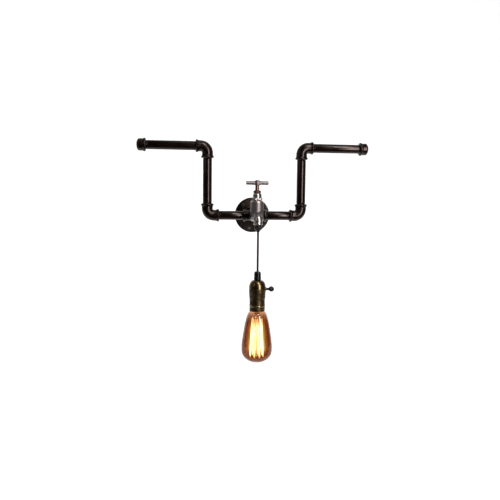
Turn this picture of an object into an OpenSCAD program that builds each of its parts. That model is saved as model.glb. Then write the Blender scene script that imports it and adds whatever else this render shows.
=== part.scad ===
// Industrial pipe wall light, in millimetres.
// Iron pipe and fittings stand on a round wall flange, a bib tap closes the middle,
// and a lampholder with a filament lamp hangs on a flex from the tap's spout.
// The origin is the centre of the flange's back face. The wall is the plane y = 0,
// the light stands out of it towards -Y, and +Z is up.

/* [Wall flange] */
// Diameter of the round wall flange
flange_d = 76; // [66:1:90]
// Thickness of the flange plate
flange_t = 5; // [3:0.5:7]
// Outer diameter of the flange's threaded hub
flange_hub_d = 28; // [25:0.5:34]
// Length of the hub, from the wall to its front face
flange_hub_len = 14; // [12:0.5:18]
// Distance from the centres of the wall screw holes to the flange's rim
screw_edge = 8; // [6:0.5:10]
// Diameter of each wall screw hole
screw_hole_d = 5.5; // [4:0.1:7]
// Number of wall screw holes
screw_holes = 3; // [3:1:6]
// Turn of the first screw hole from the right-hand side
screw_turn = 15; // [0:5:60]

/* [Pipework] */
// Width over the two end caps
overall_w = 490; // [420:5:560]
// Distance between the axes of the two uprights
upright_span = 200; // [170:5:240]
// Height of the arms' axis over the lower pipes' axis
rise = 144; // [110:2:180]
// Outer diameter of the pipe
pipe_d = 19; // [17:0.5:20]
// Bore of the pipe
pipe_bore_d = 14; // [12:0.5:15]
// Diameter of a fitting's body
fitting_d = 22.5; // [22:0.5:24]
// Diameter of the bead at a fitting's mouth
bead_d = 26; // [25:0.5:30]
// Width of the bead
bead_w = 5.5; // [4:0.5:7]
// Length of pipe that is screwed into a fitting
socket_depth = 10; // [8:0.5:10.5]
// Distance from the cross's centre to each of its faces
cross_reach = 24; // [24:0.5:30]
// Distance from an elbow's centre to each of its faces
elbow_reach = 25; // [25:0.5:30]
// Radius of the elbow's bend on its centre line
elbow_bend_r = 14; // [12:0.5:14.5]
// Length of an end cap
cap_len = 19; // [17:0.5:24]
// Diameter of an end cap behind its bead
cap_d = 24; // [23:0.5:25]
// Diameter of an end cap's bead
cap_bead_d = 27; // [26.5:0.5:31]
// Nipple that shows between the flange and the cross
nipple_show = 2; // [1:0.5:6]

/* [Tap] */
// Diameter of the tap's barrel
barrel_d = 27; // [26:0.5:30]
// Height of the barrel's top over the pipe axis
barrel_rise = 32; // [30:0.5:38]
// Depth of the barrel's bottom under the pipe axis
barrel_drop = 10; // [9.5:0.5:13]
// Diameter of the chamber in the barrel
chamber_d = 16; // [15:0.5:16.5]
// Neck that shows between the cross and the barrel
tap_neck = 2; // [1:0.5:5]
// Distance from the barrel's axis to the spout's axis
spout_reach = 19; // [17:0.5:24]
// Outer diameter of the spout
spout_d = 18; // [16:0.5:19]
// Bore of the spout
spout_bore_d = 11.4; // [10:0.2:12]
// Depth of the spout's mouth under the pipe axis
spout_drop = 16.5; // [15:0.5:24]
// Thickness of the fibre washer under the bonnet
bonnet_washer_t = 1; // [0.8:0.1:2]
// Width over the corners of the bonnet's hexagon
bonnet_hex_d = 22; // [21.5:0.5:24]
// Height of the bonnet's hexagon
bonnet_hex_h = 5; // [4:0.5:8]
// Diameter of the bonnet's domed neck
bonnet_neck_d = 18.4; // [17.5:0.1:19]
// Height of the bonnet's domed neck
bonnet_neck_h = 9.5; // [8:0.5:12]
// Width over the corners of the gland nut
gland_nut_d = 16; // [15:0.5:17]
// Height of the gland nut above the bonnet
gland_nut_h = 5.5; // [4:0.5:8]
// Diameter of the spindle
spindle_d = 8.4; // [7.5:0.1:9]
// Spindle that shows between the gland nut and the handle
spindle_show = 10.5; // [9:0.5:16]
// Lift of the spindle from shut to open
tap_lift = 4; // [2:0.5:5]
// Length of the handle's cross bar
handle_w = 46; // [36:1:60]
// Diameter of the handle's cross bar
handle_bar_d = 7.6; // [6.5:0.1:8.5]
// Diameter of the handle's hub
handle_hub_d = 10; // [9.5:0.1:13]
// Height of the handle's hub
handle_hub_h = 9; // [8.6:0.1:12]

/* [Flex and grips] */
// Diameter of the flex
flex_d = 4.2; // [3.6:0.1:5]
// Diameter of the black cord grip in the spout's mouth
spout_grip_d = 14.6; // [13:0.2:17]
// Length of that grip below the spout
spout_grip_len = 11.5; // [9:0.5:15]
// Depth of the fore-and-aft swing point under the grip
swing_drop = 5; // [4:0.5:7]
// Distance between the two swing points
swing_step = 5; // [4:0.5:8]
// Diameter of the black cord grip on the lampholder
holder_grip_d = 14.6; // [13:0.2:17]
// Length of that grip above the lampholder
holder_grip_len = 17.5; // [14:0.5:22]

/* [Lampholder] */
// Largest diameter of the lampholder
holder_d = 34.4; // [33.6:0.2:38]
// Height of the domed cap
dome_h = 15; // [13:0.5:18]
// Diameter of the lampholder's lower end
holder_low_d = 31.4; // [31.2:0.2:33]
// Height of the shell below the domed cap
shell_h = 48.5; // [47:0.5:54]
// Thickness of the sheet metal
sheet_t = 0.8; // [0.6:0.1:0.9]
// Thickness of the insulating sleeve
sleeve_t = 0.5; // [0.4:0.05:0.6]
// Radius of the socket core
core_r = 13.8; // [13.4:0.1:13.9]
// Height of the socket core above the switch's axis
core_h = 7.8; // [7:0.1:8.5]
// Inner diameter of the screw shell
screw_shell_d = 26.6; // [26.4:0.1:26.6]
// Height of the screw shell
screw_shell_h = 27; // [24:0.5:28]
// Distance of the switch's axis below the domed cap
switch_drop = 3.8; // [3.6:0.1:5]
// Diameter of the switch's shaft
switch_shaft_d = 3.6; // [3:0.1:4]
// Distance of the key's centre from the lampholder's axis
key_reach = 29; // [27:0.5:34]
// Diameter of the key's round paddle
key_d = 11; // [9:0.5:14]
// Thickness of the key's paddle
key_t = 4.4; // [4.4:0.1:6]

/* [Lamp] */
// Length of the lamp from its contact to its tip
lamp_len = 138; // [132:1:150]
// Largest diameter of the glass
glass_d = 63.4; // [58:0.2:72]
// Thickness of the glass
glass_t = 0.9; // [0.7:0.1:1.2]
// Length of the lamp's cap with its contact
lamp_cap_len = 27; // [26:0.5:28]
// Diameter of the lamp's cap
lamp_cap_d = 25.8; // [25.4:0.1:26]
// Number of filament strands
strands = 16; // [8:2:24]
// Thickness of the filament
filament_d = 0.7; // [0.4:0.1:1]

/* [Hidden] */
$fn = 48;

// Clearances
thread_gap = 0.1;
running_gap = 0.05;
free_gap = 0.3;
overrun = 1;

// Pipework places
pipe_r = pipe_d / 2;
pipe_bore_r = pipe_bore_d / 2;
socket_r = pipe_r + thread_gap;
fitting_r = fitting_d / 2;
bead_r = bead_d / 2;
bead_edge = bead_w / 4;
axis_depth = flange_hub_len + nipple_show + cross_reach;
upright_x = upright_span / 2;
arm_end_x = overall_w / 2;
flange_r = flange_d / 2;
flange_edge = flange_t / 3;
flange_hub_r = flange_hub_d / 2;
hub_flare = flange_t / 2;
nipple_start = flange_hub_len - socket_depth;
screw_circle_r = flange_r - screw_edge;
screw_hole_r = screw_hole_d / 2;
cap_r = cap_d / 2;
cap_bead_r = cap_bead_d / 2;
cap_end_r = cap_len / 4;
cap_end_t = cap_len / 5;

// Tap places, as heights over the pipe axis
barrel_r = barrel_d / 2;
barrel_round = barrel_r * 0.27;
chamber_r = chamber_d / 2;
chamber_drop = barrel_drop * 0.65;
inlet_bore_r = spout_bore_d / 2;
tap_y = -(axis_depth + cross_reach + tap_neck + barrel_r);
spout_y = tap_y - spout_reach;
spout_r = spout_d / 2;
spout_bore_r = spout_bore_d / 2;
spout_bend_r = spout_r / 0.9;
spout_lip = spout_r / 12;
bonnet_spigot_r = chamber_r * 1.06;
bonnet_spigot_h = barrel_rise / 3;
bonnet_z = barrel_rise + bonnet_washer_t;
bonnet_neck_z = bonnet_z + bonnet_hex_h;
bonnet_neck_r = bonnet_neck_d / 2;
gland_z = bonnet_neck_z + bonnet_neck_h;
gland_top_z = gland_z + gland_nut_h;
gland_bore_r = spindle_d * 0.7;
gland_depth = bonnet_neck_h * 0.7;
packing_h = gland_depth * 0.6;
spindle_r = spindle_d / 2;
spindle_foot_r = spindle_r + bonnet_washer_t;
handle_z = gland_top_z + spindle_show;
handle_bar_r = handle_bar_d / 2;
handle_hub_r = handle_hub_d / 2;
handle_bar_z = handle_z + handle_hub_h / 2;
square_w = spindle_d * 0.62;
handle_top_z = handle_z + handle_hub_h;
handle_screw_head_h = handle_hub_h / 6;
handle_screw_r = square_w / 4;
washer_z = inlet_bore_r + free_gap;
washer_h = chamber_r / 3;
jumper_z = washer_z + washer_h;
jumper_h = chamber_r / 4;
jumper_r = chamber_r * 0.84;
jumper_pin_r = spindle_r / 2;
jumper_pin_h = jumper_h * 3;
spindle_z = jumper_z + jumper_h;
spindle_foot_h = bonnet_z - spindle_z - tap_lift;

// Flex and grips
flex_r = flex_d / 2;
flex_bore_r = flex_r + thread_gap;
spout_grip_r = spout_grip_d / 2;
spout_grip_z = -spout_drop - spout_grip_len;
spout_spigot_r = spout_bore_r - thread_gap;
spout_spigot_h = spout_drop / 3;
grip_flutes = 10;
grip_flute_r = spout_grip_r / 8;
swing_fore_z = spout_grip_z - swing_drop;
swing_side_z = swing_fore_z - swing_step;
flex_end_z = swing_fore_z + flex_r + free_gap;
stub_end_z = swing_side_z + flex_r + free_gap;

// The flex's free run, as heights under the pipe axis
cord_route_y = -98.5;
cord_route_z = [-38, -48, -58, -68, -78, -88, -98, -108, -112];
cord_sides = 10;
cord_dome_rings = 3;

// Lampholder places, from the end of the flex downwards
holder_grip_z = cord_route_z[len(cord_route_z) - 1];
holder_grip_r = holder_grip_d / 2;
holder_grip_edge = holder_grip_r / 4;
dome_z = holder_grip_z - holder_grip_len;
holder_r = holder_d / 2;
holder_low_r = holder_low_d / 2;
nipple_r = flex_r * 2.3;
nipple_len = dome_h * 0.45;
dome_rim_z = dome_z - dome_h;
shell_end_z = dome_rim_z - shell_h;
shell_tuck = dome_h * 0.2;
rim_roll = holder_low_r / 14;
rim_inner_r = holder_low_r - sheet_t - rim_roll / 2;
sleeve_r = core_r + sleeve_t + 2 * thread_gap;
core_end_z = shell_end_z + screw_shell_h + 4 * rim_roll;
switch_z = dome_rim_z - switch_drop;
core_z = switch_z + core_h;
screw_shell_r = screw_shell_d / 2;
shell_wall = sleeve_t * 0.8;
plate_bore_r = screw_shell_r * 0.45;
contact_r = plate_bore_r * 0.7;
contact_t = 2 * shell_wall;
contact_h = contact_t * 2;
rivet_r = contact_r / 3;
terminal_x = core_r * 0.55;
terminal_r = core_r / 6;
terminal_h = terminal_r;
lead_r = flex_r / 2.4;
switch_shaft_r = switch_shaft_d / 2;
bush_r = switch_shaft_r * 1.6;
bush_start_x = core_r * 0.8;
bush_end_x = holder_r + sheet_t;
cam_r = switch_shaft_r * 2;
cam_start_x = core_r * 0.2;
cam_end_x = core_r * 0.7;
cam_room_r = cam_r + free_gap;
rivet_hole_h = (switch_z - cam_room_r - core_end_z) * 0.75;
terminal_hole_h = (core_h - cam_room_r) * 0.8;
key_r = key_d / 2;
key_edge = key_t / 4;

// Lamp places
lamp_z = core_end_z - contact_h - free_gap;
tip_r = 4.7 / 25.8 * lamp_cap_d;
tip_h = lamp_cap_len / 22;
insulator_h = lamp_cap_len / 7;
insulator_r = lamp_cap_d * 0.39;
lamp_cap_r = lamp_cap_d / 2;
lamp_cap_t = shell_wall;
lamp_cap_z = lamp_z - tip_h - insulator_h;
lamp_cap_end_z = lamp_z - lamp_cap_len;
lamp_tip_z = lamp_z - lamp_len;
neck_r = lamp_cap_r - lamp_cap_t - thread_gap;
neck_in_z = lamp_cap_end_z + lamp_cap_len / 4;
glass_r = glass_d / 2;
glass_h = lamp_cap_end_z - lamp_tip_z;
stem_r = glass_r * 0.28;
press_r = glass_r * 0.11;
arbor_r = glass_r * 0.045;
stem_top_z = lamp_cap_end_z;
press_z = lamp_cap_end_z - glass_h * 0.13;
arbor_end_z = lamp_cap_end_z - glass_h * 0.86;
button_r = arbor_r * 1.8;
cage_top_z = lamp_cap_end_z - glass_h * 0.17;
cage_low_z = lamp_cap_end_z - glass_h * 0.88;
cage_top_r = glass_r * 0.33;
cage_low_r = glass_r * 0.46;
wire_r = filament_d * 0.4;
filament_r = filament_d / 2;
hook_r = filament_r + wire_r + thread_gap;
hook_steps = 6;
wire_sides = 10;

// The glass outline from its neck to its tip: share of the glass radius, share of its height
glass_shares = [
    [0.405, 0.004], [0.42, 0.020], [0.48, 0.034], [0.555, 0.054], [0.64, 0.105],
    [0.76, 0.225], [0.855, 0.375], [0.935, 0.520], [0.985, 0.630], [1.00, 0.715],
    [0.985, 0.800], [0.90, 0.865], [0.72, 0.925], [0.46, 0.968], [0.20, 0.988],
    [0.07, 0.994], [0.00, 1.000]];
curve_steps = 3;

// Finishes
iron = "#241b18";
iron_cast = "#2b211d";
silver = "#b9b9b6";
copper = "#b4795a";
black = "#141414";
bronze = "#4d4029";
brass = "#b08d4a";
porcelain = "#e4ded0";
fibre = "#7a3a28";
amber = "#b5713599";
glow = "#ffe9b0";

// Curves

// One point of a smooth curve through b and c, at share t of the way
function smooth_at(a, b, c, d, t) =
    0.5 * (2 * b + (c - a) * t + (2 * a - 5 * b + 4 * c - d) * t * t
        + (3 * b - a - 3 * c + d) * t * t * t);

// A smooth curve through a list of points, with the given steps in each span
function smooth(points, steps) = [
    for (i = [0 : len(points) - 2], k = [0 : steps - 1])
        smooth_at(points[max(i - 1, 0)], points[i], points[i + 1],
            points[min(i + 2, len(points) - 1)], k / steps),
    points[len(points) - 1]];

// Points on an elliptic arc between two angles
function arc(centre, radius_x, radius_y, from, to, steps) = [
    for (i = [0 : steps])
        let (a = from + (to - from) * i / steps)
        centre + [radius_x * cos(a), radius_y * sin(a)]];

// The points in the opposite order
function reversed(points) = [for (i = [len(points) - 1 : -1 : 0]) points[i]];

// Unit vector of a vector
function unit(v) = v / norm(v);

// Direction of a route at point i
function heading(route, i) =
    unit(route[min(i + 1, len(route) - 1)] - route[max(i - 1, 0)]);

// Corners of the ring round route point i, which start on the side given
function ring(route, radii, sideways, i, sides) =
    let (h = heading(route, i), s = unit(sideways[i] - h * (h * sideways[i])), u = cross(s, h))
    [for (k = [0 : sides - 1])
        route[i] + radii[i] * (cos(360 * k / sides) * s + sin(360 * k / sides) * u)];

// A round tube swept along a route, with its own radius and side at each point
module sweep(route, radii, sideways, sides) {
    last = len(route) - 1;
    corners = [for (i = [0 : last]) each ring(route, radii, sideways, i, sides)];
    walls = [
        for (i = [0 : last - 1], k = [0 : sides - 1])
            let (a = i * sides + k, b = i * sides + (k + 1) % sides)
            each [[a, b, b + sides], [a, b + sides, a + sides]]];
    start_face = [for (k = [sides - 1 : -1 : 0]) k];
    end_face = [for (k = [0 : sides - 1]) last * sides + k];
    polyhedron(corners, concat(walls, [start_face, end_face]));
}

// Common forms

// Turns a form that stands on +Z so that it lies along +X, -X or -Y
module along_x(side = 1) rotate([0, 90 * side, 0]) children();
module along_y() rotate([90, 0, 0]) children();

// Places a form on the spout's axis, which is the flex's axis too
module on_spout(z) translate([0, spout_y, z]) children();

// Places a form on the hanging flex's axis
module on_flex(z) translate([0, cord_route_y, z]) children();

// A straight tube from the origin up
module tube(outer_r, inner_r, h) {
    difference() {
        cylinder(r = outer_r, h = h);
        translate([0, 0, -overrun]) cylinder(r = inner_r, h = h + 2 * overrun);
    }
}

// Half outline of a band with rounded outer corners, from the axis out
module band_outline(r, w, edge) {
    square([r - edge, w]);
    translate([0, edge]) square([r, w - 2 * edge]);
    for (y = [edge, w - edge]) translate([r - edge, y]) circle(r = edge);
}

module band(r, w, edge) rotate_extrude() intersection() {
    band_outline(r, w, edge);
    square([r, w]);
}

// Pipework

// The bead round a fitting's mouth, with sloping flanks, from its face up
module bead(body_r, r, w) {
    face_r = body_r + (r - body_r) * 0.15;
    rotate_extrude() polygon([
        [0, 0], [face_r, 0], [r, w * 0.35], [r, w * 0.65], [face_r, w], [body_r, w * 1.3],
        [0, w * 1.3]]);
}

// One arm of a fitting: its body from the centre and the bead at its mouth
module fitting_arm(start, reach) {
    translate([0, 0, start]) cylinder(r = fitting_r, h = reach - start - bead_w);
    translate([0, 0, reach]) mirror([0, 0, 1]) bead(fitting_r, bead_r, bead_w);
}

// The threaded socket of an arm
module fitting_socket(reach) {
    translate([0, 0, reach - socket_depth]) cylinder(r = socket_r, h = socket_depth + overrun);
}

module wall_flange() color(iron_cast) along_y() difference() {
    rotate_extrude() polygon([
        [socket_r, 0], [flange_r, 0], [flange_r, flange_t - flange_edge],
        [flange_r - flange_edge, flange_t], [flange_hub_r + hub_flare, flange_t],
        [flange_hub_r, flange_t + hub_flare], [flange_hub_r, flange_hub_len - bead_edge],
        [flange_hub_r - bead_edge, flange_hub_len], [socket_r, flange_hub_len]]);
    for (i = [0 : screw_holes - 1])
        rotate([0, 0, screw_turn + 360 * i / screw_holes])
            translate([screw_circle_r, 0, -overrun])
                cylinder(r = screw_hole_r, h = flange_t + 2 * overrun);
}

module flange_nipple() color(iron) along_y() translate([0, 0, nipple_start])
    tube(pipe_r, pipe_bore_r, 2 * socket_depth + nipple_show);

module cross_fitting() color(iron_cast) translate([0, -axis_depth, 0]) difference() {
    union() {
        sphere(r = fitting_r);
        for (turn = [0 : 90 : 270]) rotate([0, 0, turn]) along_x() fitting_arm(0, cross_reach);
    }
    for (turn = [0 : 90 : 270]) rotate([0, 0, turn]) along_x() {
        cylinder(r = pipe_bore_r, h = cross_reach);
        fitting_socket(cross_reach);
    }
}

// A quarter bend in the X-Z plane, from +Z round to +X
module quarter_bend(bend_r, r) translate([bend_r, 0, bend_r])
    rotate([90, 0, 0]) rotate([0, 0, 180])
        rotate_extrude(angle = 90) translate([bend_r, 0]) circle(r = r);

// An elbow with one mouth along +Z and one along +X
module elbow() difference() {
    union() {
        quarter_bend(elbow_bend_r, fitting_r);
        fitting_arm(elbow_bend_r, elbow_reach);
        along_x() fitting_arm(elbow_bend_r, elbow_reach);
    }
    quarter_bend(elbow_bend_r, pipe_bore_r);
    for (turn = [0, 90]) rotate([0, turn, 0]) {
        translate([0, 0, elbow_bend_r]) cylinder(r = pipe_bore_r, h = elbow_reach);
        fitting_socket(elbow_reach);
    }
}

module lower_elbow(side) color(iron_cast) translate([side * upright_x, -axis_depth, 0])
    mirror([side > 0 ? 1 : 0, 0, 0]) elbow();

module upper_elbow(side) color(iron_cast) translate([side * upright_x, -axis_depth, rise])
    mirror([side > 0 ? 0 : 1, 0, 0]) mirror([0, 0, 1]) elbow();

module lower_pipe(side) color(iron)
    translate([side * (cross_reach - socket_depth), -axis_depth, 0]) along_x(side)
        tube(pipe_r, pipe_bore_r, upright_x - cross_reach - elbow_reach + 2 * socket_depth);

module upright_pipe(side) color(iron)
    translate([side * upright_x, -axis_depth, elbow_reach - socket_depth])
        tube(pipe_r, pipe_bore_r, rise - 2 * (elbow_reach - socket_depth));

module arm_pipe(side) color(iron)
    translate([side * (upright_x + elbow_reach - socket_depth), -axis_depth, rise]) along_x(side)
        tube(pipe_r, pipe_bore_r,
            arm_end_x - cap_len - upright_x - elbow_reach + 2 * socket_depth);

module end_cap(side) color(iron_cast)
    translate([side * (arm_end_x - cap_len), -axis_depth, rise]) along_x(side) difference() {
        union() {
            bead(cap_r, cap_bead_r, bead_w);
            band(cap_r, cap_len, cap_end_r);
        }
        translate([0, 0, -overrun]) cylinder(r = socket_r, h = cap_len - cap_end_t + overrun);
    }

// Tap

// Places a form on the tap's upright axis
module on_tap(z) translate([0, tap_y, z]) children();

// The way of the water from the barrel forwards and down to the spout's mouth
module spout_way(r, drop) {
    on_tap(0) along_y() cylinder(r = r, h = spout_reach - spout_bend_r);
    on_spout(-spout_bend_r) translate([0, spout_bend_r, 0]) rotate([90, 0, -90])
        rotate_extrude(angle = 90) translate([spout_bend_r, 0]) circle(r = r);
    on_spout(-drop) cylinder(r = r, h = drop - spout_bend_r);
}

module tap_body() color(silver) difference() {
    union() {
        on_tap(-barrel_drop) band(barrel_r, barrel_drop + barrel_rise, barrel_round);
        translate([0, -(axis_depth + cross_reach - socket_depth), 0]) along_y()
            cylinder(r = pipe_r, h = socket_depth + tap_neck + barrel_r);
        spout_way(spout_r, spout_drop);
        on_spout(-spout_drop) band(spout_r + spout_lip, 3 * spout_lip, spout_lip);
    }
    on_tap(-chamber_drop) cylinder(r = chamber_r, h = barrel_rise + chamber_drop + overrun);
    on_tap(barrel_rise - bonnet_spigot_h)
        cylinder(r = bonnet_spigot_r + thread_gap, h = bonnet_spigot_h + overrun);
    translate([0, -(axis_depth + cross_reach - socket_depth) + overrun, 0]) along_y()
        cylinder(r = inlet_bore_r, h = socket_depth + tap_neck + barrel_r + overrun);
    spout_way(spout_bore_r, spout_drop + overrun);
}

module bonnet_washer() color(fibre) on_tap(barrel_rise)
    tube(bonnet_hex_d * 0.425, bonnet_spigot_r + thread_gap, bonnet_washer_t);

module tap_bonnet() color(silver) difference() {
    union() {
        on_tap(barrel_rise - bonnet_spigot_h)
            cylinder(r = bonnet_spigot_r, h = bonnet_spigot_h + bonnet_washer_t);
        on_tap(bonnet_z) cylinder(d = bonnet_hex_d, h = bonnet_hex_h, $fn = 6);
        on_tap(bonnet_neck_z) rotate_extrude() polygon(concat(
            [[0, 0], [bonnet_neck_r, 0]],
            arc([bonnet_neck_r * 0.75, bonnet_neck_h * 0.5],
                bonnet_neck_r * 0.25, bonnet_neck_h * 0.5, 0, 90, 6),
            [[0, bonnet_neck_h]]));
    }
    on_tap(barrel_rise - bonnet_spigot_h - overrun) cylinder(
        r = spindle_foot_r + running_gap,
        h = bonnet_spigot_h + bonnet_washer_t + bonnet_hex_h * 0.6 + overrun);
    on_tap(bonnet_z) cylinder(
        r = spindle_r + running_gap, h = bonnet_hex_h + bonnet_neck_h + overrun);
    on_tap(gland_z - gland_depth) cylinder(r = gland_bore_r, h = gland_depth + overrun);
}

module gland_packing() color(fibre) on_tap(gland_z - gland_depth)
    tube(gland_bore_r - running_gap, spindle_r + running_gap, packing_h);

module gland_nut() color(black) difference() {
    union() {
        on_tap(gland_z - gland_depth + packing_h)
            cylinder(r = gland_bore_r - running_gap, h = gland_depth - packing_h);
        on_tap(gland_z) cylinder(d = gland_nut_d, h = gland_nut_h * 0.8, $fn = 6);
        on_tap(gland_z) cylinder(r = gland_nut_d * 0.4, h = gland_nut_h);
    }
    on_tap(gland_z - gland_depth) cylinder(
        r = spindle_r + running_gap, h = gland_depth + gland_nut_h + overrun);
}

module tap_spindle() color(copper) difference() {
    union() {
        on_tap(spindle_z) cylinder(r = spindle_foot_r, h = spindle_foot_h);
        on_tap(spindle_z) cylinder(r = spindle_r, h = handle_z - spindle_z);
        on_tap(handle_z) translate([-square_w / 2, -square_w / 2, 0])
            cube([square_w, square_w, handle_hub_h]);
    }
    on_tap(spindle_z - overrun)
        cylinder(r = jumper_pin_r + running_gap, h = jumper_pin_h + 2 * overrun);
    on_tap(handle_bar_z) cylinder(r = handle_screw_r + running_gap, h = handle_hub_h);
}

module tap_handle() color(silver) difference() {
    union() {
        on_tap(handle_z) band(handle_hub_r, handle_hub_h, handle_hub_h / 8);
        on_tap(handle_bar_z) translate([-handle_w / 2, 0, 0]) along_x()
            band(handle_bar_r, handle_w, handle_bar_r / 5);
    }
    on_tap(handle_z - overrun)
        translate([-square_w / 2 - running_gap, -square_w / 2 - running_gap, 0])
            cube([square_w + 2 * running_gap, square_w + 2 * running_gap,
                handle_hub_h + 2 * overrun]);
}

module handle_screw() color(silver) {
    on_tap(handle_top_z) rotate_extrude() polygon(concat(
        [[0, 0]], arc([0, 0], square_w * 0.7, handle_screw_head_h, 0, 90, 6)));
    on_tap(handle_bar_z + handle_screw_head_h)
        cylinder(r = handle_screw_r, h = handle_hub_h / 2 - handle_screw_head_h);
}

module tap_jumper() color(brass) {
    on_tap(jumper_z) cylinder(r = jumper_r, h = jumper_h);
    on_tap(jumper_z) cylinder(r = jumper_pin_r, h = jumper_h + jumper_pin_h);
}

module jumper_washer() color(black) on_tap(washer_z) band(jumper_r, washer_h, washer_h / 4);

// Flex and grips

module inner_flex() color(black) {
    along_y() cylinder(r = flex_r, h = -tap_y);
    spout_way(flex_r, -flex_end_z);
}

module spout_cord_grip() color(black) on_spout(spout_grip_z) difference() {
    union() {
        band(spout_grip_r, spout_grip_len, spout_grip_r / 5);
        translate([0, 0, spout_grip_len]) cylinder(r = spout_spigot_r, h = spout_spigot_h);
    }
    translate([0, 0, -overrun])
        cylinder(r = flex_bore_r, h = spout_grip_len + spout_spigot_h + 2 * overrun);
    for (i = [0 : grip_flutes - 1]) rotate([0, 0, 360 * i / grip_flutes])
        translate([spout_grip_r, 0, -overrun])
            cylinder(r = grip_flute_r, h = spout_grip_len * 0.8 + overrun);
}

module cord_exit() color(black) on_spout(0) {
    translate([0, 0, swing_fore_z]) sphere(r = flex_r);
    translate([0, 0, stub_end_z]) cylinder(r = flex_r, h = swing_fore_z - stub_end_z);
}

// The free flex has a round upper end, whose centre is the sideways swing point
module cord() color(black) {
    dome = [for (i = [1 : cord_dome_rings])
        let (a = 90 * i / (cord_dome_rings + 1))
        [flex_r * sin(a), cord_route_z[0] + flex_r * cos(a)]];
    route = concat(
        [for (p = dome) [0, cord_route_y, p[1]]],
        [for (z = cord_route_z) [0, cord_route_y, z]]);
    radii = concat([for (p = dome) p[0]], [for (z = cord_route_z) flex_r]);
    sweep(route, radii, [for (p = route) [1, 0, 0]], cord_sides);
}

module holder_cord_grip() color(black) on_flex(dome_z) difference() {
    union() {
        rotate_extrude() polygon([
            [0, 0], [holder_grip_r, 0],
            [holder_grip_r, holder_grip_len * 0.7],
            [holder_grip_r * 0.96, holder_grip_len - holder_grip_edge],
            [holder_grip_r - holder_grip_edge, holder_grip_len], [0, holder_grip_len]]);
        translate([0, 0, -nipple_len]) cylinder(r = nipple_r, h = nipple_len);
    }
    translate([0, 0, -nipple_len - overrun])
        cylinder(r = flex_bore_r, h = holder_grip_len + nipple_len + 2 * overrun);
}

// Lampholder

// Radius of the holder's skin from the dome's rim down, by height above the shell's end
function shell_points(inset) = [
    [holder_r - inset, shell_h],
    [holder_r - inset, shell_h * 0.80],
    [holder_r - inset - (holder_r - holder_low_r) / 3, shell_h * 0.60],
    [holder_low_r - inset, shell_h * 0.54],
    [holder_low_r - inset, shell_h * 0.27],
    [holder_low_r - inset + rim_roll / 2, shell_h * 0.24],
    [holder_low_r - inset + rim_roll / 2, shell_h * 0.20],
    [holder_low_r - inset, shell_h * 0.17]];

module holder_cap() color(bronze) on_flex(dome_rim_z) difference() {
    rotate_extrude() polygon(concat(
        reversed(arc([holder_grip_r, 0], holder_r - holder_grip_r, dome_h, 0, 90, 12)),
        [[holder_r - sheet_t, 0]],
        arc([holder_grip_r, 0], holder_r - holder_grip_r - sheet_t, dome_h - sheet_t, 0, 90, 12),
        [[0, dome_h - sheet_t], [0, dome_h]]));
    cylinder(r = nipple_r + thread_gap, h = dome_h + overrun);
}

// The shell is tucked inside the domed cap, carries a bead and is rolled in at its mouth
module holder_shell() color(bronze) difference() {
    on_flex(shell_end_z) rotate_extrude() polygon(concat(
        [[holder_r - 2 * sheet_t - free_gap, shell_h + shell_tuck],
            [holder_r - sheet_t - free_gap, shell_h + shell_tuck],
            [holder_r - sheet_t - free_gap, shell_h - thread_gap]],
        [for (p = shell_points(0)) [p[0], p[1] - thread_gap]],
        [[holder_low_r, rim_roll * 2], [holder_low_r - rim_roll / 2, 0],
            [rim_inner_r, 0], [rim_inner_r, rim_roll * 1.2],
            [holder_low_r - sheet_t, rim_roll * 2.2]],
        reversed(shell_points(sheet_t)),
        [[holder_r - 2 * sheet_t - free_gap, shell_h - sheet_t]]));
    on_flex(switch_z) along_x() cylinder(r = bush_r + thread_gap, h = holder_r + overrun);
}

module holder_sleeve() color(fibre) difference() {
    on_flex(shell_end_z + 3 * rim_roll)
        tube(sleeve_r, sleeve_r - sleeve_t, core_z - shell_end_z - 3 * rim_roll);
    on_flex(switch_z) along_x() cylinder(r = bush_r + thread_gap, h = holder_r);
}

module socket_core() color(porcelain) difference() {
    on_flex(core_end_z) band(core_r, core_z - core_end_z, core_r / 12);
    on_flex(switch_z) along_x() {
        translate([0, 0, cam_start_x - free_gap]) cylinder(r = cam_room_r, h = core_r);
    }
    on_flex(core_end_z - overrun) cylinder(r = rivet_r + thread_gap, h = rivet_hole_h + overrun);
    for (x = [-terminal_x, terminal_x]) on_flex(core_z - terminal_hole_h) translate([x, 0, 0])
        cylinder(r = terminal_r / 2 + thread_gap, h = terminal_hole_h + overrun);
}

module screw_shell() color(brass) on_flex(core_end_z - screw_shell_h) difference() {
    cylinder(r = screw_shell_r + shell_wall, h = screw_shell_h);
    translate([0, 0, -overrun])
        cylinder(r = screw_shell_r, h = screw_shell_h - shell_wall + overrun);
    cylinder(r = plate_bore_r, h = screw_shell_h + overrun);
}

module centre_contact() color(brass) on_flex(core_end_z) {
    translate([0, 0, -contact_t]) cylinder(r = contact_r, h = contact_t);
    translate([0, 0, -contact_h]) cylinder(r = contact_r * 0.7, h = contact_h);
    cylinder(r = rivet_r, h = rivet_hole_h * 0.95);
}

module terminal_screws() color(brass)
    for (x = [-terminal_x, terminal_x]) on_flex(core_z) translate([x, 0, 0]) {
        difference() {
            cylinder(r = terminal_r, h = terminal_h);
            translate([-terminal_r, -terminal_r / 6, terminal_h * 0.6])
                cube([terminal_r * 2, terminal_r / 3, terminal_h]);
        }
        translate([0, 0, -terminal_hole_h * 0.9])
            cylinder(r = terminal_r / 2, h = terminal_hole_h * 0.9 + terminal_h / 2);
    }

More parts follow.
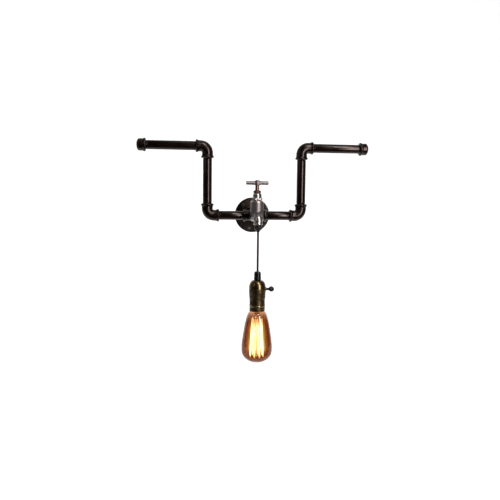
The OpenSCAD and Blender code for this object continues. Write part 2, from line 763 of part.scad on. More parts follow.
// The flex's sheath ends under the grip and its two cores lead to the terminal screws
module holder_leads() color(black) {
    sheath_z = dome_z - nipple_len - lead_r;
    on_flex(sheath_z) cylinder(r = flex_r, h = holder_grip_z - sheath_z);
    for (side = [-1, 1]) {
        lead_top = [side * (lead_r + thread_gap), cord_route_y, sheath_z];
        lead_end = [side * terminal_x, cord_route_y, core_z + terminal_h + lead_r];
        drop = lead_top[2] - lead_end[2];
        lean = atan2(side * (terminal_x - lead_r - thread_gap), drop);
        translate(lead_top) rotate([0, 180 - lean, 0])
            cylinder(r = lead_r, h = norm(lead_end - lead_top));
    }
}

// Switch

module on_switch(x) on_flex(switch_z) translate([x, 0, 0]) along_x() children();

module switch_bush() color(brass) on_switch(bush_start_x)
    tube(bush_r, switch_shaft_r + running_gap, bush_end_x - bush_start_x);

module switch_shaft() color(brass) on_switch(cam_start_x)
    cylinder(r = switch_shaft_r, h = key_reach - key_r - cam_start_x);

module switch_cam() color(black) on_switch(cam_start_x) difference() {
    intersection() {
        cylinder(r = cam_r, h = cam_end_x - cam_start_x);
        translate([-cam_r, -cam_r * 0.7, 0]) cube([2 * cam_r, cam_r * 1.4, cam_end_x]);
    }
    translate([0, 0, -overrun])
        cylinder(r = switch_shaft_r + running_gap, h = cam_end_x + 2 * overrun);
}

module switch_key() color(black) on_flex(switch_z) difference() {
    union() {
        translate([key_reach, key_t / 2, 0]) along_y() band(key_r, key_t, key_edge);
        translate([bush_end_x + free_gap, 0, 0]) along_x()
            cylinder(r = switch_shaft_r * 1.3, h = key_reach - bush_end_x - key_r / 2);
    }
    along_x() cylinder(r = switch_shaft_r + running_gap, h = key_reach - key_r + running_gap);
}

// Lamp

function glass_points(wall) = [
    for (p = smooth(glass_shares, curve_steps))
        [max(p[0] * glass_r - wall, 0), lamp_cap_end_z - p[1] * (glass_h - wall)]];

module lamp_tip_contact() color(silver) on_flex(lamp_z - tip_h) band(tip_r, tip_h, tip_h / 3);

module lamp_insulator() color(black) on_flex(lamp_cap_z)
    cylinder(r1 = insulator_r, r2 = tip_r, h = insulator_h);

module lamp_cap() color(brass) on_flex(0) rotate_extrude() polygon([
    [insulator_r - 2 * lamp_cap_t, lamp_cap_z], [insulator_r, lamp_cap_z],
    [lamp_cap_r, lamp_cap_z - tip_h], [lamp_cap_r, lamp_cap_end_z],
    [lamp_cap_r - lamp_cap_t, lamp_cap_end_z],
    [lamp_cap_r - lamp_cap_t, lamp_cap_z - tip_h - lamp_cap_t],
    [insulator_r - 2 * lamp_cap_t, lamp_cap_z - lamp_cap_t]]);

module lamp_glass() color(amber) on_flex(0) rotate_extrude() polygon(concat(
    [[neck_r - glass_t, neck_in_z], [neck_r, neck_in_z], [neck_r, lamp_cap_end_z]],
    glass_points(0), reversed(glass_points(glass_t)), [[neck_r - glass_t, lamp_cap_end_z]]));

// The flare that is sealed into the neck, the pressed seal, and the arbor with its two buttons
module lamp_stem() color(amber) on_flex(0) {
    rotate_extrude() polygon([
        [0, press_z], [press_r, press_z], [stem_r * 0.6, (press_z + stem_top_z) / 2],
        [stem_r, stem_top_z], [neck_r - glass_t - thread_gap, neck_in_z - glass_t],
        [neck_r - glass_t - thread_gap, neck_in_z], [stem_r - glass_t, neck_in_z - glass_t],
        [stem_r - glass_t, stem_top_z], [stem_r * 0.6 - glass_t, (press_z + stem_top_z) / 2],
        [0, press_z + press_r]]);
    translate([0, 0, arbor_end_z]) cylinder(r = arbor_r, h = press_z - arbor_end_z);
    for (z = [cage_top_z, arbor_end_z]) translate([0, 0, z]) sphere(r = button_r);
}

// Outward direction at filament hook i, and the direction that goes on round the cage
function cage_angle(i) = 360 * (i + 0.5) / (strands + 1);
function cage_out(i) = [cos(cage_angle(i)), sin(cage_angle(i)), 0];
function cage_on(i) = [-sin(cage_angle(i)), cos(cage_angle(i)), 0];

// Top and bottom hooks of the filament take turns round the cage
function cage_point(i) =
    let (low = i % 2 == 1)
    [0, cord_route_y, low ? cage_low_z : cage_top_z]
        + (low ? cage_low_r : cage_top_r) * cage_out(i);

// The half circle in which the filament goes round hook i
function hook_turn(i) =
    let (up = i % 2 == 1 ? -hook_r : hook_r)
    [for (k = [0 : hook_steps])
        let (a = 180 * k / hook_steps)
        cage_point(i) + [0, 0, up * sin(a)] - hook_r * cos(a) * cage_on(i)];

module wire(from, to, r) {
    way = to - from;
    translate(from) rotate([0, acos(way[2] / norm(way)), atan2(way[1], way[0])])
        cylinder(r = r, h = norm(way));
}

module filament() color(glow) {
    hooks = [1 : strands - 1];
    route = concat(
        [cage_point(0)], [for (i = hooks) each hook_turn(i)], [cage_point(strands)]);
    sideways = concat(
        [cage_out(0)], [for (i = hooks, k = [0 : hook_steps]) cage_out(i)], [cage_out(strands)]);
    sweep(route, [for (p = route) filament_r], sideways, wire_sides);
}

// Each hook reaches from the surface of its button through the filament's turn
module support_wires() color(silver)
    for (i = [1 : strands - 1]) {
        hub = [0, cord_route_y, i % 2 == 1 ? arbor_end_z : cage_top_z];
        way = unit(cage_point(i) - hub);
        wire(hub + way * button_r, cage_point(i) + way * filament_r, wire_r);
    }

module lead_wires() color(copper)
    for (i = [0, strands]) {
        side = i == 0 ? 1 : -1;
        foot = [press_r * 0.7, cord_route_y + side * press_r * 0.4, press_z - wire_r];
        way = unit(cage_point(i) - foot);
        wire(foot, cage_point(i) - way * (filament_r + thread_gap), wire_r);
    }

wall_flange();
flange_nipple();
cross_fitting();
lower_pipe(-1);  // lower_pipe_left
lower_pipe(1);  // lower_pipe_right
lower_elbow(-1);  // lower_elbow_left
lower_elbow(1);  // lower_elbow_right
upright_pipe(-1);  // upright_pipe_left
upright_pipe(1);  // upright_pipe_right
upper_elbow(-1);  // upper_elbow_left
upper_elbow(1);  // upper_elbow_right
arm_pipe(-1);  // arm_pipe_left
arm_pipe(1);  // arm_pipe_right
end_cap(-1);  // end_cap_left
end_cap(1);  // end_cap_right
tap_body();
bonnet_washer();
tap_bonnet();
gland_packing();
gland_nut();
tap_spindle();
tap_handle();
handle_screw();
tap_jumper();
jumper_washer();
inner_flex();
spout_cord_grip();
cord_exit();
cord();
holder_cord_grip();
holder_cap();
holder_shell();
holder_sleeve();
socket_core();
screw_shell();
centre_contact();
terminal_screws();
holder_leads();
switch_bush();
switch_shaft();
switch_cam();
switch_key();
lamp_tip_contact();
lamp_insulator();
lamp_cap();
lamp_glass();
lamp_stem();
lead_wires();
support_wires();
filament();
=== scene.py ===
"""Looks of an industrial pipe wall light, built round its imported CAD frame.

Lengths are metres in the frame's own axes: the wall is the plane y = 0, the light stands
out of it towards -Y, and +Z is up. The first operator sets up the camera and the last one
the stage. Each of the others dresses one piece or a group of like pieces.
"""

import itertools
import math

import bpy
import numpy as np
from mathutils import Matrix, Vector


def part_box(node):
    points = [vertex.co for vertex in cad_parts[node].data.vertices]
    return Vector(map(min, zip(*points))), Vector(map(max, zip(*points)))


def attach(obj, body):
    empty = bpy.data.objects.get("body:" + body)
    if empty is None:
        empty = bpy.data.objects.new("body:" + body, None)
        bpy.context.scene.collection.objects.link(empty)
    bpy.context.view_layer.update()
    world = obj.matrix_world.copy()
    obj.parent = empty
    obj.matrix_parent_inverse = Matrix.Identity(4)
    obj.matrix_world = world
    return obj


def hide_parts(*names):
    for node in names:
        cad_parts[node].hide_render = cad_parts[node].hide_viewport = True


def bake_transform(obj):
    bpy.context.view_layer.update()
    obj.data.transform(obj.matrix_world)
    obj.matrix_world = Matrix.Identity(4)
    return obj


bl_info = {
    "name": "Pipe wall light",
    "version": (1, 0, 0),
    "blender": (4, 5, 0),
    "location": "View3D > Sidebar > Pipe light",
    "description": "Builds the pieces, finishes and stage of an industrial pipe wall light",
    "category": "Object",
}

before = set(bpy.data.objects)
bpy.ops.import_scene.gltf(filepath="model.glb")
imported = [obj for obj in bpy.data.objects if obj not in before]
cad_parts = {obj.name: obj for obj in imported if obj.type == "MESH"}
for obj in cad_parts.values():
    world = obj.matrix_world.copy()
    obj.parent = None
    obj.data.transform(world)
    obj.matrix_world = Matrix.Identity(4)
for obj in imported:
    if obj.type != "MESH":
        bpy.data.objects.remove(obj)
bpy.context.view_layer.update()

MM = 0.001
MICRON = 0.000001
# A length under which two points count as one
TINY = 1e-7
X_AXIS = np.array([1.0, 0.0, 0.0])
Y_AXIS = np.array([0.0, 1.0, 0.0])
Z_AXIS = np.array([0.0, 0.0, 1.0])

# The flex hangs straight down from the ball under the spout's grip to the lampholder's grip
CORD_Y = -0.0985
CORD_ROUTE = [(0.0, CORD_Y, z) for z in (
    -0.038, -0.048, -0.058, -0.068, -0.078, -0.088, -0.098, -0.108, -0.112)]

# Thickness of the flange's plate, as a share of the flange's whole depth
PLATE_SHARE = 0.36
# Bore of a fitting's mouth, as a share of its bead's radius
FITTING_BORE_SHARE = 0.735
# Height of the lampholder's large bead, as a share of the shell's height
BEAD_SHARE = 0.22
# Sheet of the lampholder, its hole for the grip's tail, and the grip's hole for the flex
SHEET = 0.8 * MM
TAIL_R = 4.9 * MM
FLEX_HOLE_R = 2.3 * MM
# How far a bore's form runs past the piece that it cuts
OVERRUN = 10 * MM
# The photograph's size, and the fitted camera's focal length and offset, in pixels
PICTURE_SIZE = 500
FOCAL_PIXELS = 561.8
OFFSET_PIXELS = (-4.03, -6.41)
# Softboxes: name, azimuth and elevation in degrees, distance, width, height, watts, colour
SOFTBOXES = (
    ("key", -25, 8, 1.9, 0.46, 1.5, 34.0, (1.0, 0.96, 0.94)),
    ("high", -20, 48, 1.7, 0.4, 0.5, 13.0, (1.0, 0.97, 0.95)),
    ("fill", 62, 25, 2.2, 0.8, 1.2, 2.5, (1.0, 1.0, 1.0)),
    ("top", -10, 80, 1.8, 1.0, 1.0, 3.0, (1.0, 1.0, 1.0)))


def rgb(red, green, blue):
    """A linear colour from its sRGB values in hundredths."""
    def linear(value):
        value = value / 100
        return value / 12.92 if value <= 0.04045 else ((value + 0.055) / 1.055) ** 2.4
    return (linear(red), linear(green), linear(blue), 1.0)


# Settings


class CastingSettings(bpy.types.PropertyGroup):
    """Settings of the cast iron fittings and the pipes."""

    edge_round: bpy.props.FloatProperty(
        name="Edge rounding", description="Radius of the rounded edges of a casting",
        default=0.0009, min=0.0001, unit="LENGTH")
    weld: bpy.props.FloatProperty(
        name="Fillet", description="Radius of the fillets where parts of a casting meet",
        default=0.0035, min=0.0002, unit="LENGTH")
    grid: bpy.props.FloatProperty(
        name="Casting grid", description="Grid step on which a casting is meshed",
        default=0.0008, min=0.0002, unit="LENGTH")
    thread_pitch: bpy.props.FloatProperty(
        name="Pipe thread pitch", description="Pitch of the pipe thread",
        default=0.0013, min=0.0005, unit="LENGTH")
    thread_depth: bpy.props.FloatProperty(
        name="Pipe thread depth", description="Depth of the thread that shows beside a fitting",
        default=0.0005, min=0.0, unit="LENGTH")
    thread_show: bpy.props.FloatProperty(
        name="Thread that shows", description="Length of thread left outside each fitting",
        default=0.0032, min=0.0, unit="LENGTH")
    socket: bpy.props.FloatProperty(
        name="Socket depth", description="Length of a pipe's end that is screwed into a fitting",
        default=0.010, min=0.001, unit="LENGTH")


class TapSettings(bpy.types.PropertyGroup):
    """Settings of the tap."""

    weld: bpy.props.FloatProperty(
        name="Fillet", description="Radius of the fillet between the barrel and the spout",
        default=0.0050, min=0.0002, unit="LENGTH")
    grid: bpy.props.FloatProperty(
        name="Tap grid", description="Grid step on which the tap's pieces are meshed",
        default=0.0006, min=0.0002, unit="LENGTH")
    edge_round: bpy.props.FloatProperty(
        name="Edge rounding", description="Radius of the rounded edges of nuts and bars",
        default=0.0006, min=0.0001, unit="LENGTH")


class LampSettings(bpy.types.PropertyGroup):
    """Settings of the lamp."""

    thread_pitch: bpy.props.FloatProperty(
        name="Lamp thread pitch", description="Pitch of the rolled thread of the lamp's cap",
        default=0.00363, min=0.001, unit="LENGTH")
    thread_depth: bpy.props.FloatProperty(
        name="Lamp thread depth", description="Depth of the rolled thread of the lamp's cap",
        default=0.0009, min=0.0, unit="LENGTH")
    glass_wall: bpy.props.FloatProperty(
        name="Glass wall", description="Thickness of the blown glass",
        default=0.0008, min=0.0003, unit="LENGTH")
    filament_glow: bpy.props.FloatProperty(
        name="Filament glow", description="Brightness of the filament",
        default=3.8, min=0.0)
    # Strength of the glass's painted glow: emission given to the glass in front of the filament
    painted_glass_glow: bpy.props.FloatProperty(
        name="Glass glow", description="Light that the glass scatters in front of the filament",
        default=0.05, min=0.0)


class ColourSettings(bpy.types.PropertyGroup):
    """Colours of the finishes."""

    enamel: bpy.props.FloatVectorProperty(
        name="Enamel", description="Black-brown enamel of the pipes and fittings",
        default=rgb(2.8, 1.1, 0.8), size=4, min=0.0, max=1.0, subtype="COLOR")
    nickel: bpy.props.FloatVectorProperty(
        name="Nickel", description="Nickel plate of the tap and its handle",
        default=rgb(68, 66, 65), size=4, min=0.0, max=1.0, subtype="COLOR")
    spindle: bpy.props.FloatVectorProperty(
        name="Spindle", description="Copper brown of the tap's spindle",
        default=rgb(53, 41, 36), size=4, min=0.0, max=1.0, subtype="COLOR")
    bronze: bpy.props.FloatVectorProperty(
        name="Bronze", description="Antique finish of the lampholder",
        default=rgb(32, 27, 18), size=4, min=0.0, max=1.0, subtype="COLOR")
    brass: bpy.props.FloatVectorProperty(
        name="Brass", description="Bare brass of the lampholder's inner pieces",
        default=rgb(74, 62, 38), size=4, min=0.0, max=1.0, subtype="COLOR")
    cap: bpy.props.FloatVectorProperty(
        name="Lamp cap", description="Brass of the lamp's cap",
        default=rgb(80, 70, 48), size=4, min=0.0, max=1.0, subtype="COLOR")
    plastic: bpy.props.FloatVectorProperty(
        name="Plastic", description="Black plastic of the grips and the switch key",
        default=rgb(5, 4, 5), size=4, min=0.0, max=1.0, subtype="COLOR")
    flex: bpy.props.FloatVectorProperty(
        name="Flex", description="Jacket of the flex",
        default=rgb(2.2, 2, 2.2), size=4, min=0.0, max=1.0, subtype="COLOR")
    glass: bpy.props.FloatVectorProperty(
        name="Glass", description="Amber tint of the lamp's glass",
        default=rgb(61, 39, 19), size=4, min=0.0, max=1.0, subtype="COLOR")
    filament: bpy.props.FloatVectorProperty(
        name="Filament", description="Light of the filament",
        default=rgb(100, 96, 86), size=4, min=0.0, max=1.0, subtype="COLOR")


class StageSettings(bpy.types.PropertyGroup):
    """Settings of the camera and the light."""

    distance: bpy.props.FloatProperty(
        name="Distance", description="Distance of the camera from the light's middle",
        default=1.2, min=0.1, unit="LENGTH")
    azimuth: bpy.props.FloatProperty(
        name="Azimuth", description="Turn of the camera towards the light's left-hand side",
        default=math.radians(7.75), subtype="ANGLE")
    elevation: bpy.props.FloatProperty(
        name="Elevation", description="Height of the camera as an angle over the horizon",
        default=math.radians(5.0), subtype="ANGLE")
    roll: bpy.props.FloatProperty(
        name="Roll", description="Roll of the camera, which leans the picture clockwise",
        default=math.radians(0.67), subtype="ANGLE")
    room_light: bpy.props.FloatProperty(
        name="Room light", description="Brightness of the room seen in reflections",
        default=0.03, min=0.0)


class PipeLightSettings(bpy.types.PropertyGroup):
    """All settings of the pipe wall light."""

    casting: bpy.props.PointerProperty(
        type=CastingSettings, name="Castings", description="Fittings and pipes")
    tap: bpy.props.PointerProperty(type=TapSettings, name="Tap", description="The tap")
    lamp: bpy.props.PointerProperty(type=LampSettings, name="Lamp", description="The lamp")
    colours: bpy.props.PointerProperty(
        type=ColourSettings, name="Colours", description="Colours of the finishes")
    stage: bpy.props.PointerProperty(
        type=StageSettings, name="Stage", description="Camera and light")


# Places read from the frame


def corners(node):
    """Lowest and highest corner of a CAD node's box, as arrays."""
    low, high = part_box(node)
    return np.array(low), np.array(high)


def middle(node):
    """Middle of a CAD node's box."""
    low, high = corners(node)
    return (low + high) / 2


def extent(node):
    """Size of a CAD node's box along X, Y and Z."""
    low, high = corners(node)
    return high - low


# Outlines and ways


def rounded(points, radius, steps=5):
    """A polyline with each corner turned into an arc of the radius, or the largest that fits."""
    most = 0.48
    points = [np.array(p, float) for p in points]
    line = [points[0]]
    for before, corner, after in zip(points, points[1:], points[2:]):
        back = before - corner
        ahead = after - corner
        back_length = np.linalg.norm(back)
        ahead_length = np.linalg.norm(ahead)
        if back_length == 0 or ahead_length == 0:
            continue
        cosine = np.dot(back, ahead) / (back_length * ahead_length)
        half = math.acos(max(-1.0, min(1.0, cosine))) / 2
        reach = min(radius / math.tan(half), most * back_length, most * ahead_length)
        if reach < TINY:
            line.append(corner)
            continue
        start = corner + back * reach / back_length
        end = corner + ahead * reach / ahead_length
        for i in range(steps + 1):
            t = i / steps
            line.append((1 - t) ** 2 * start + 2 * t * (1 - t) * corner + t * t * end)
    line.append(points[-1])
    return line


def divided(points, step):
    """The same polyline with points no further apart than the step."""
    line = []
    for a, b in zip(points, points[1:]):
        parts = max(1, math.ceil(np.linalg.norm(b - a) / step))
        line += [a + (b - a) * i / parts for i in range(parts)]
    line.append(points[-1])
    return line


def smooth_line(points, steps):
    """A smooth curve through the points, with the given steps in each span."""
    points = [np.array(p, float) for p in points]
    last = len(points) - 1
    line = []
    for i in range(last):
        a, b = points[max(i - 1, 0)], points[i]
        c, d = points[i + 1], points[min(i + 2, last)]
        for k in range(steps):
            t = k / steps
            line.append(0.5 * (
                2 * b + (c - a) * t + (2 * a - 5 * b + 4 * c - d) * t * t
                + (3 * b - a - 3 * c + d) * t ** 3))
    line.append(points[last])
    return line


def straight_way(origin, axis):
    """A straight centre line: at each station its point and two directions square to it."""
    origin = np.array(origin, float)
    side = np.array(Vector(axis).orthogonal().normalized())
    up = np.cross(axis, side)
    return lambda s: (origin + axis * s, side, up)


def flex_line(level, axis=Z_AXIS):
    """The hanging flex's own line, from a level upwards or along the axis given."""
    return straight_way((0, CORD_Y, level), axis)


def elbow_way(corner, first, second, reach, bend):
    """The centre line of an elbow, from its mouth along `first` to its mouth along `second`."""
    side = np.cross(first, second)
    straight = reach - bend
    quarter = bend * math.pi / 2

    def way(s):
        if s <= straight:
            return corner + first * (reach - s), side, second
        if s >= straight + quarter:
            return corner + second * (bend + s - straight - quarter), side, first
        turn = (s - straight) / bend
        inward = second * math.cos(turn) + first * math.sin(turn)
        return corner + (first + second) * bend - inward * bend, side, inward

    return way


# Meshes


def new_piece(name, vertices, faces, material, sharp=40):
    """A smooth-shaded mesh object whose edges over the given angle stay sharp."""
    mesh = bpy.data.meshes.new(name)
    mesh.from_pydata(
        np.asarray(vertices).tolist(), [], [tuple(int(i) for i in f) for f in faces])
    mesh.validate()
    mesh.shade_smooth()
    mesh.set_sharp_from_angle(angle=math.radians(sharp))
    mesh.materials.append(material)
    piece = bpy.data.objects.new(name, mesh)
    bpy.context.scene.collection.objects.link(piece)
    return piece


def turned(name, outline, way, material, segments, swell=None, lift=None, sharp=40):
    """A form turned round a centre line, from an outline of (station, radius) points.

    `swell` gives an extra radius from the angles and the station, for flutes and threads,
    and `lift` a shift along the centre line, for scalloped edges.
    """
    angles = np.arange(segments) * 2 * math.pi / segments
    vertices = []
    rings = []
    for station, radius in outline:
        centre, side, up = way(station)
        if radius < TINY:
            rings.append([len(vertices)] * segments)
            vertices.append(centre)
            continue
        reach = np.full(segments, radius)
        if swell:
            reach = reach + swell(angles, station)
        rings.append(range(len(vertices), len(vertices) + segments))
        ring = centre + reach[:, None] * (
            np.cos(angles)[:, None] * side + np.sin(angles)[:, None] * up)
        if lift:
            ring = ring + lift(angles, station)[:, None] * np.cross(side, up)
        vertices.extend(ring)
    faces = []
    for lower, upper in zip(rings, rings[1:]):
        for k in range(segments):
            n = (k + 1) % segments
            face = []
            for i in (lower[k], lower[n], upper[n], upper[k]):
                if i not in face:
                    face.append(i)
            if len(face) > 2:
                faces.append(face)
    return new_piece(name, vertices, faces, material, sharp)


def tube(name, line, radius, material):
    """A round tube along a line of points, with rounded ends."""
    sides = 24
    line = [np.array(p, float) for p in line]
    headings = [b - a for a, b in zip([line[0]] + line[:-1], line[1:] + [line[-1]])]
    headings = [h / np.linalg.norm(h) for h in headings]
    side = np.array(Vector(headings[0]).orthogonal().normalized())
    frames = []
    for heading in headings:
        side = side - heading * np.dot(side, heading)
        side = side / np.linalg.norm(side)
        frames.append((side, np.cross(heading, side)))
    caps = [(math.cos(a), math.sin(a)) for a in np.radians((12, 30, 52, 90))]
    stations = [(0, -radius * along, radius * out) for along, out in caps]
    stations += [(i, 0.0, radius) for i in range(1, len(line) - 1)]
    stations += [(len(line) - 1, radius * along, radius * out) for along, out in reversed(caps)]
    angles = np.arange(sides) * 2 * math.pi / sides
    vertices = []
    for i, shift, reach in stations:
        side, up = frames[i]
        vertices.extend(
            line[i] + headings[i] * shift + reach * (
                np.cos(angles)[:, None] * side + np.sin(angles)[:, None] * up))
    faces = [list(range(sides))[::-1]]
    for ring in range(len(stations) - 1):
        a = ring * sides
        faces += [
            (a + k, a + (k + 1) % sides, a + sides + (k + 1) % sides, a + sides + k)
            for k in range(sides)]
    last = (len(stations) - 1) * sides
    faces.append(list(range(last, last + sides)))
    return new_piece(name, vertices, faces, material, sharp=60)


# Castings, as the zero surface of a distance field


def weld(a, b, radius):
    """Distance to two joined forms, with a fillet between them."""
    share = np.clip(0.5 + 0.5 * (b - a) / radius, 0, 1)
    return b + (a - b) * share - radius * share * (1 - share)


def cut(a, b, radius):
    """Distance to form a with form b taken away, with a rounded edge."""
    return -weld(-a, b, radius)


def meet(a, b, edge):
    """Distance to where two forms overlap, with a rounded edge."""
    a = a + edge
    b = b + edge
    return np.minimum(np.maximum(a, b), 0) + np.hypot(np.maximum(a, 0), np.maximum(b, 0)) - edge


def along_and_out(p, start, axis):
    """How far each point lies along an axis, and how far out from it."""
    q = p - start
    along = q @ axis
    return along, np.linalg.norm(q - along[..., None] * axis, axis=-1)


def rod(p, start, axis, radius, length, edge):
    """Distance to a round bar with rounded edges, from its start along its axis."""
    along, out = along_and_out(p, start, axis)
    return meet(out - radius, np.abs(along - length / 2) - length / 2, edge)


def bend_rod(p, centre, axis, bend, radius):
    """Distance to a ring-shaped bar round an axis through the centre."""
    along, out = along_and_out(p, centre, axis)
    return np.hypot(out - bend, along) - radius


def hexagon(p, start, width, height, edge):
    """Distance to an upright hexagonal nut with chamfered corners, from its start up."""
    q = p - start
    apothem = width * math.cos(math.pi / 6) / 2
    turns = [i * math.pi / 3 for i in range(3)]
    flats = [np.abs(q[..., 0] * math.sin(t) + q[..., 1] * math.cos(t)) for t in turns]
    side = np.maximum.reduce(flats) - apothem
    level = np.abs(q[..., 2] - height / 2) - height / 2
    steepness = 1.7
    corner = np.hypot(q[..., 0], q[..., 1]) - apothem * 1.06
    chamfer = (corner + level * steepness) / 2
    return meet(np.maximum(side, chamfer), level, edge)


def cast(name, field, low, high, step, material):
    """The zero surface of a distance field, meshed on a grid and drawn onto the surface."""
    axes = [np.arange(a - 2 * step, b + 3 * step, step) for a, b in zip(low, high)]
    points = np.stack(np.meshgrid(*axes, indexing="ij"), axis=-1)
    inside = field(points) < 0
    size = [len(a) - 1 for a in axes]
    count = sum(
        inside[i:i + size[0], j:j + size[1], k:k + size[2]].astype(int)
        for i, j, k in itertools.product((0, 1), repeat=3))
    cells = (count > 0) & (count < 8)
    index = np.full(cells.shape, -1)
    index[cells] = np.arange(cells.sum())
    vertices = points[:-1, :-1, :-1][cells] + step / 2
    nudge = step / 20
    flattest = 0.2
    for _ in range(6):
        slope = np.stack([
            (field(vertices + nudge * e) - field(vertices - nudge * e)) / (2 * nudge)
            for e in (X_AXIS, Y_AXIS, Z_AXIS)], axis=-1)
        steep = np.maximum((slope ** 2).sum(-1), flattest)
        move = slope * (field(vertices) / steep)[:, None]
        vertices = vertices - np.clip(move, -step, step)
    faces = []
    for axis in range(3):
        here = np.moveaxis(inside, axis, 0)
        ids = np.moveaxis(index, axis, 0)
        change = here[1:, 1:-1, 1:-1].astype(int) - here[:-1, 1:-1, 1:-1]
        around = [ids[:, 1 - i:ids.shape[1] - i, 1 - j:ids.shape[2] - j]
                  for i, j in ((0, 0), (1, 0), (1, 1), (0, 1))]
        for sign in (1, -1):
            quads = np.stack([a[change == sign] for a in around], axis=-1)
            flip = (sign > 0) == (axis != 1)
            faces.append(quads[:, ::-1] if flip else quads)
    return new_piece(name, vertices, np.concatenate(faces), material, sharp=180)


def cast_node(name, node, body, field, settings, step, material):
    """A CAD node's form, meshed from its distance field inside the node's box."""
    low, high = corners(node)
    piece = cast(name, lambda p: field(p, settings), low, high, step, material)
    return dress(piece, body, node)


def dress(piece, body, *nodes):
    """A piece takes the place of CAD nodes and rides on their body."""
    if nodes:
        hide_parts(*nodes)
    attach(piece, body)
    return piece


def refinish(node, material):
    """A CAD node keeps its mesh and gets a new finish."""
    sharp = 30
    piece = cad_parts[node]
    piece.data.materials.clear()
    piece.data.materials.append(material)
    piece.data.set_sharp_from_angle(angle=math.radians(sharp))


# Shader groups


def new_group(name, inputs, outputs):
    """A node group with its sockets, and the nodes that carry them."""
    group = bpy.data.node_groups.new(name, "ShaderNodeTree")
    for label, kind, value in inputs:
        socket = group.interface.new_socket(label, in_out="INPUT", socket_type=kind)
        socket.default_value = value
    for label, kind in outputs:
        group.interface.new_socket(label, in_out="OUTPUT", socket_type=kind)
    source = group.nodes.new("NodeGroupInput")
    sink = group.nodes.new("NodeGroupOutput")
    return group, source, sink


def feed(tree, socket, source):
    """Links a socket to a source, or sets its value."""
    if isinstance(source, bpy.types.NodeSocket):
        tree.links.new(source, socket)
    else:
        socket.default_value = source


def add(tree, kind, sources=None, **properties):
    """A node with its properties set and its inputs fed."""
    node = tree.nodes.new(kind)
    for key, value in properties.items():
        setattr(node, key, value)
    for label, source in (sources or {}).items():
        feed(tree, node.inputs[label], source)
    return node


def mapped(tree, source, low, high, to_low=0.0, to_high=1.0):
    """A value stretched from one range to another, clamped, and its smooth output."""
    node = add(tree, "ShaderNodeMapRange", {
        "Value": source, "From Min": low, "From Max": high,
        "To Min": to_low, "To Max": to_high}, interpolation_type="SMOOTHSTEP")
    return node.outputs["Result"]


def mixed(tree, share, a, b):
    """Colour a turned into colour b by a share."""
    node = add(tree, "ShaderNodeMix", {"Factor": share, "A": a, "B": b}, data_type="RGBA")
    return node.outputs["Result"]


def combined(tree, a, b, operation="MULTIPLY"):
    """The product of two values, or what another operation makes of them."""
    node = add(tree, "ShaderNodeMath", {0: a, 1: b}, operation=operation)
    return node.outputs["Value"]


def band(tree, value, low, high, rise, fall):
    """A mask between low and high, which rises over one length and falls over another."""
    return combined(tree, mapped(tree, value, low, low + rise),
                    mapped(tree, value, high - fall, high, 1.0, 0.0))


def level_of(tree):
    """The height of the point that is shaded."""
    place = add(tree, "ShaderNodeTexCoord").outputs["Object"]
    return add(tree, "ShaderNodeSeparateXYZ", {"Vector": place}).outputs["Z"]


def noise(tree, scale, detail):
    """Noise through the piece's own space."""
    place = add(tree, "ShaderNodeTexCoord").outputs["Object"]
    return add(tree, "ShaderNodeTexNoise", {
        "Vector": place, "Scale": scale, "Detail": detail}).outputs["Fac"]


def grain_group():
    """Fine grain and broad unevenness of a surface: a height, and a blotch mask."""
    group, source, sink = new_group(
        "Grain",
        [("Fine scale", "NodeSocketFloat", 1400.0), ("Broad scale", "NodeSocketFloat", 160.0),
         ("Broad share", "NodeSocketFloat", 0.6)],
        [("Height", "NodeSocketFloat"), ("Blotch", "NodeSocketFloat")])
    fine = noise(group, source.outputs["Fine scale"], detail=3.0)
    broad = noise(group, source.outputs["Broad scale"], detail=2.0)
    height = add(group, "ShaderNodeMix", {
        "Factor": source.outputs["Broad share"], "A": fine, "B": broad}, data_type="FLOAT")
    feed(group, sink.inputs["Height"], height.outputs["Result"])
    feed(group, sink.inputs["Blotch"], mapped(group, broad, 0.4, 0.62))
    return group


def wear_group():
    """Where edges are rubbed bare: a mask that follows the bend of the surface."""
    group, source, sink = new_group(
        "Edge wear",
        [("Start", "NodeSocketFloat", 0.53), ("Full", "NodeSocketFloat", 0.62)],
        [("Mask", "NodeSocketFloat")])
    bend = add(group, "ShaderNodeNewGeometry").outputs["Pointiness"]
    edge = add(group, "ShaderNodeMapRange", {
        "Value": bend, "From Min": source.outputs["Start"], "From Max": source.outputs["Full"]})
    broken = mapped(group, noise(group, 420.0, detail=4.0), 0.42, 0.6)
    feed(group, sink.inputs["Mask"], combined(group, edge.outputs["Result"], broken))
    return group


def dust_group():
    """Fine dust that settles on what faces up: a mask."""
    group, source, sink = new_group(
        "Dust", [("Amount", "NodeSocketFloat", 0.3)], [("Mask", "NodeSocketFloat")])
    normal = add(group, "ShaderNodeNewGeometry").outputs["Normal"]
    up = add(group, "ShaderNodeSeparateXYZ", {"Vector": normal}).outputs["Z"]
    specks = mapped(group, noise(group, 700.0, detail=5.0), 0.35, 0.7)
    settled = combined(group, mapped(group, up, 0.3, 1.0), specks)
    feed(group, sink.inputs["Mask"], combined(group, settled, source.outputs["Amount"]))
    return group


def turning_group():
    """Fine rings left by turning or drawing along one axis: a height and a mask."""
    group, source, sink = new_group(
        "Turning lines",
        [("Along", "NodeSocketVector", (1.0, 1.0, 60.0))],
        [("Height", "NodeSocketFloat"), ("Mask", "NodeSocketFloat")])
    place = add(group, "ShaderNodeTexCoord").outputs["Object"]
    stretched = add(group, "ShaderNodeVectorMath", {
        0: place, 1: source.outputs["Along"]}, operation="MULTIPLY").outputs["Vector"]
    lines = add(group, "ShaderNodeTexNoise", {"Vector": stretched, "Scale": 60.0, "Detail": 4.0})
    feed(group, sink.inputs["Height"], lines.outputs["Fac"])
    feed(group, sink.inputs["Mask"], mapped(group, lines.outputs["Fac"], 0.35, 0.7))
    return group


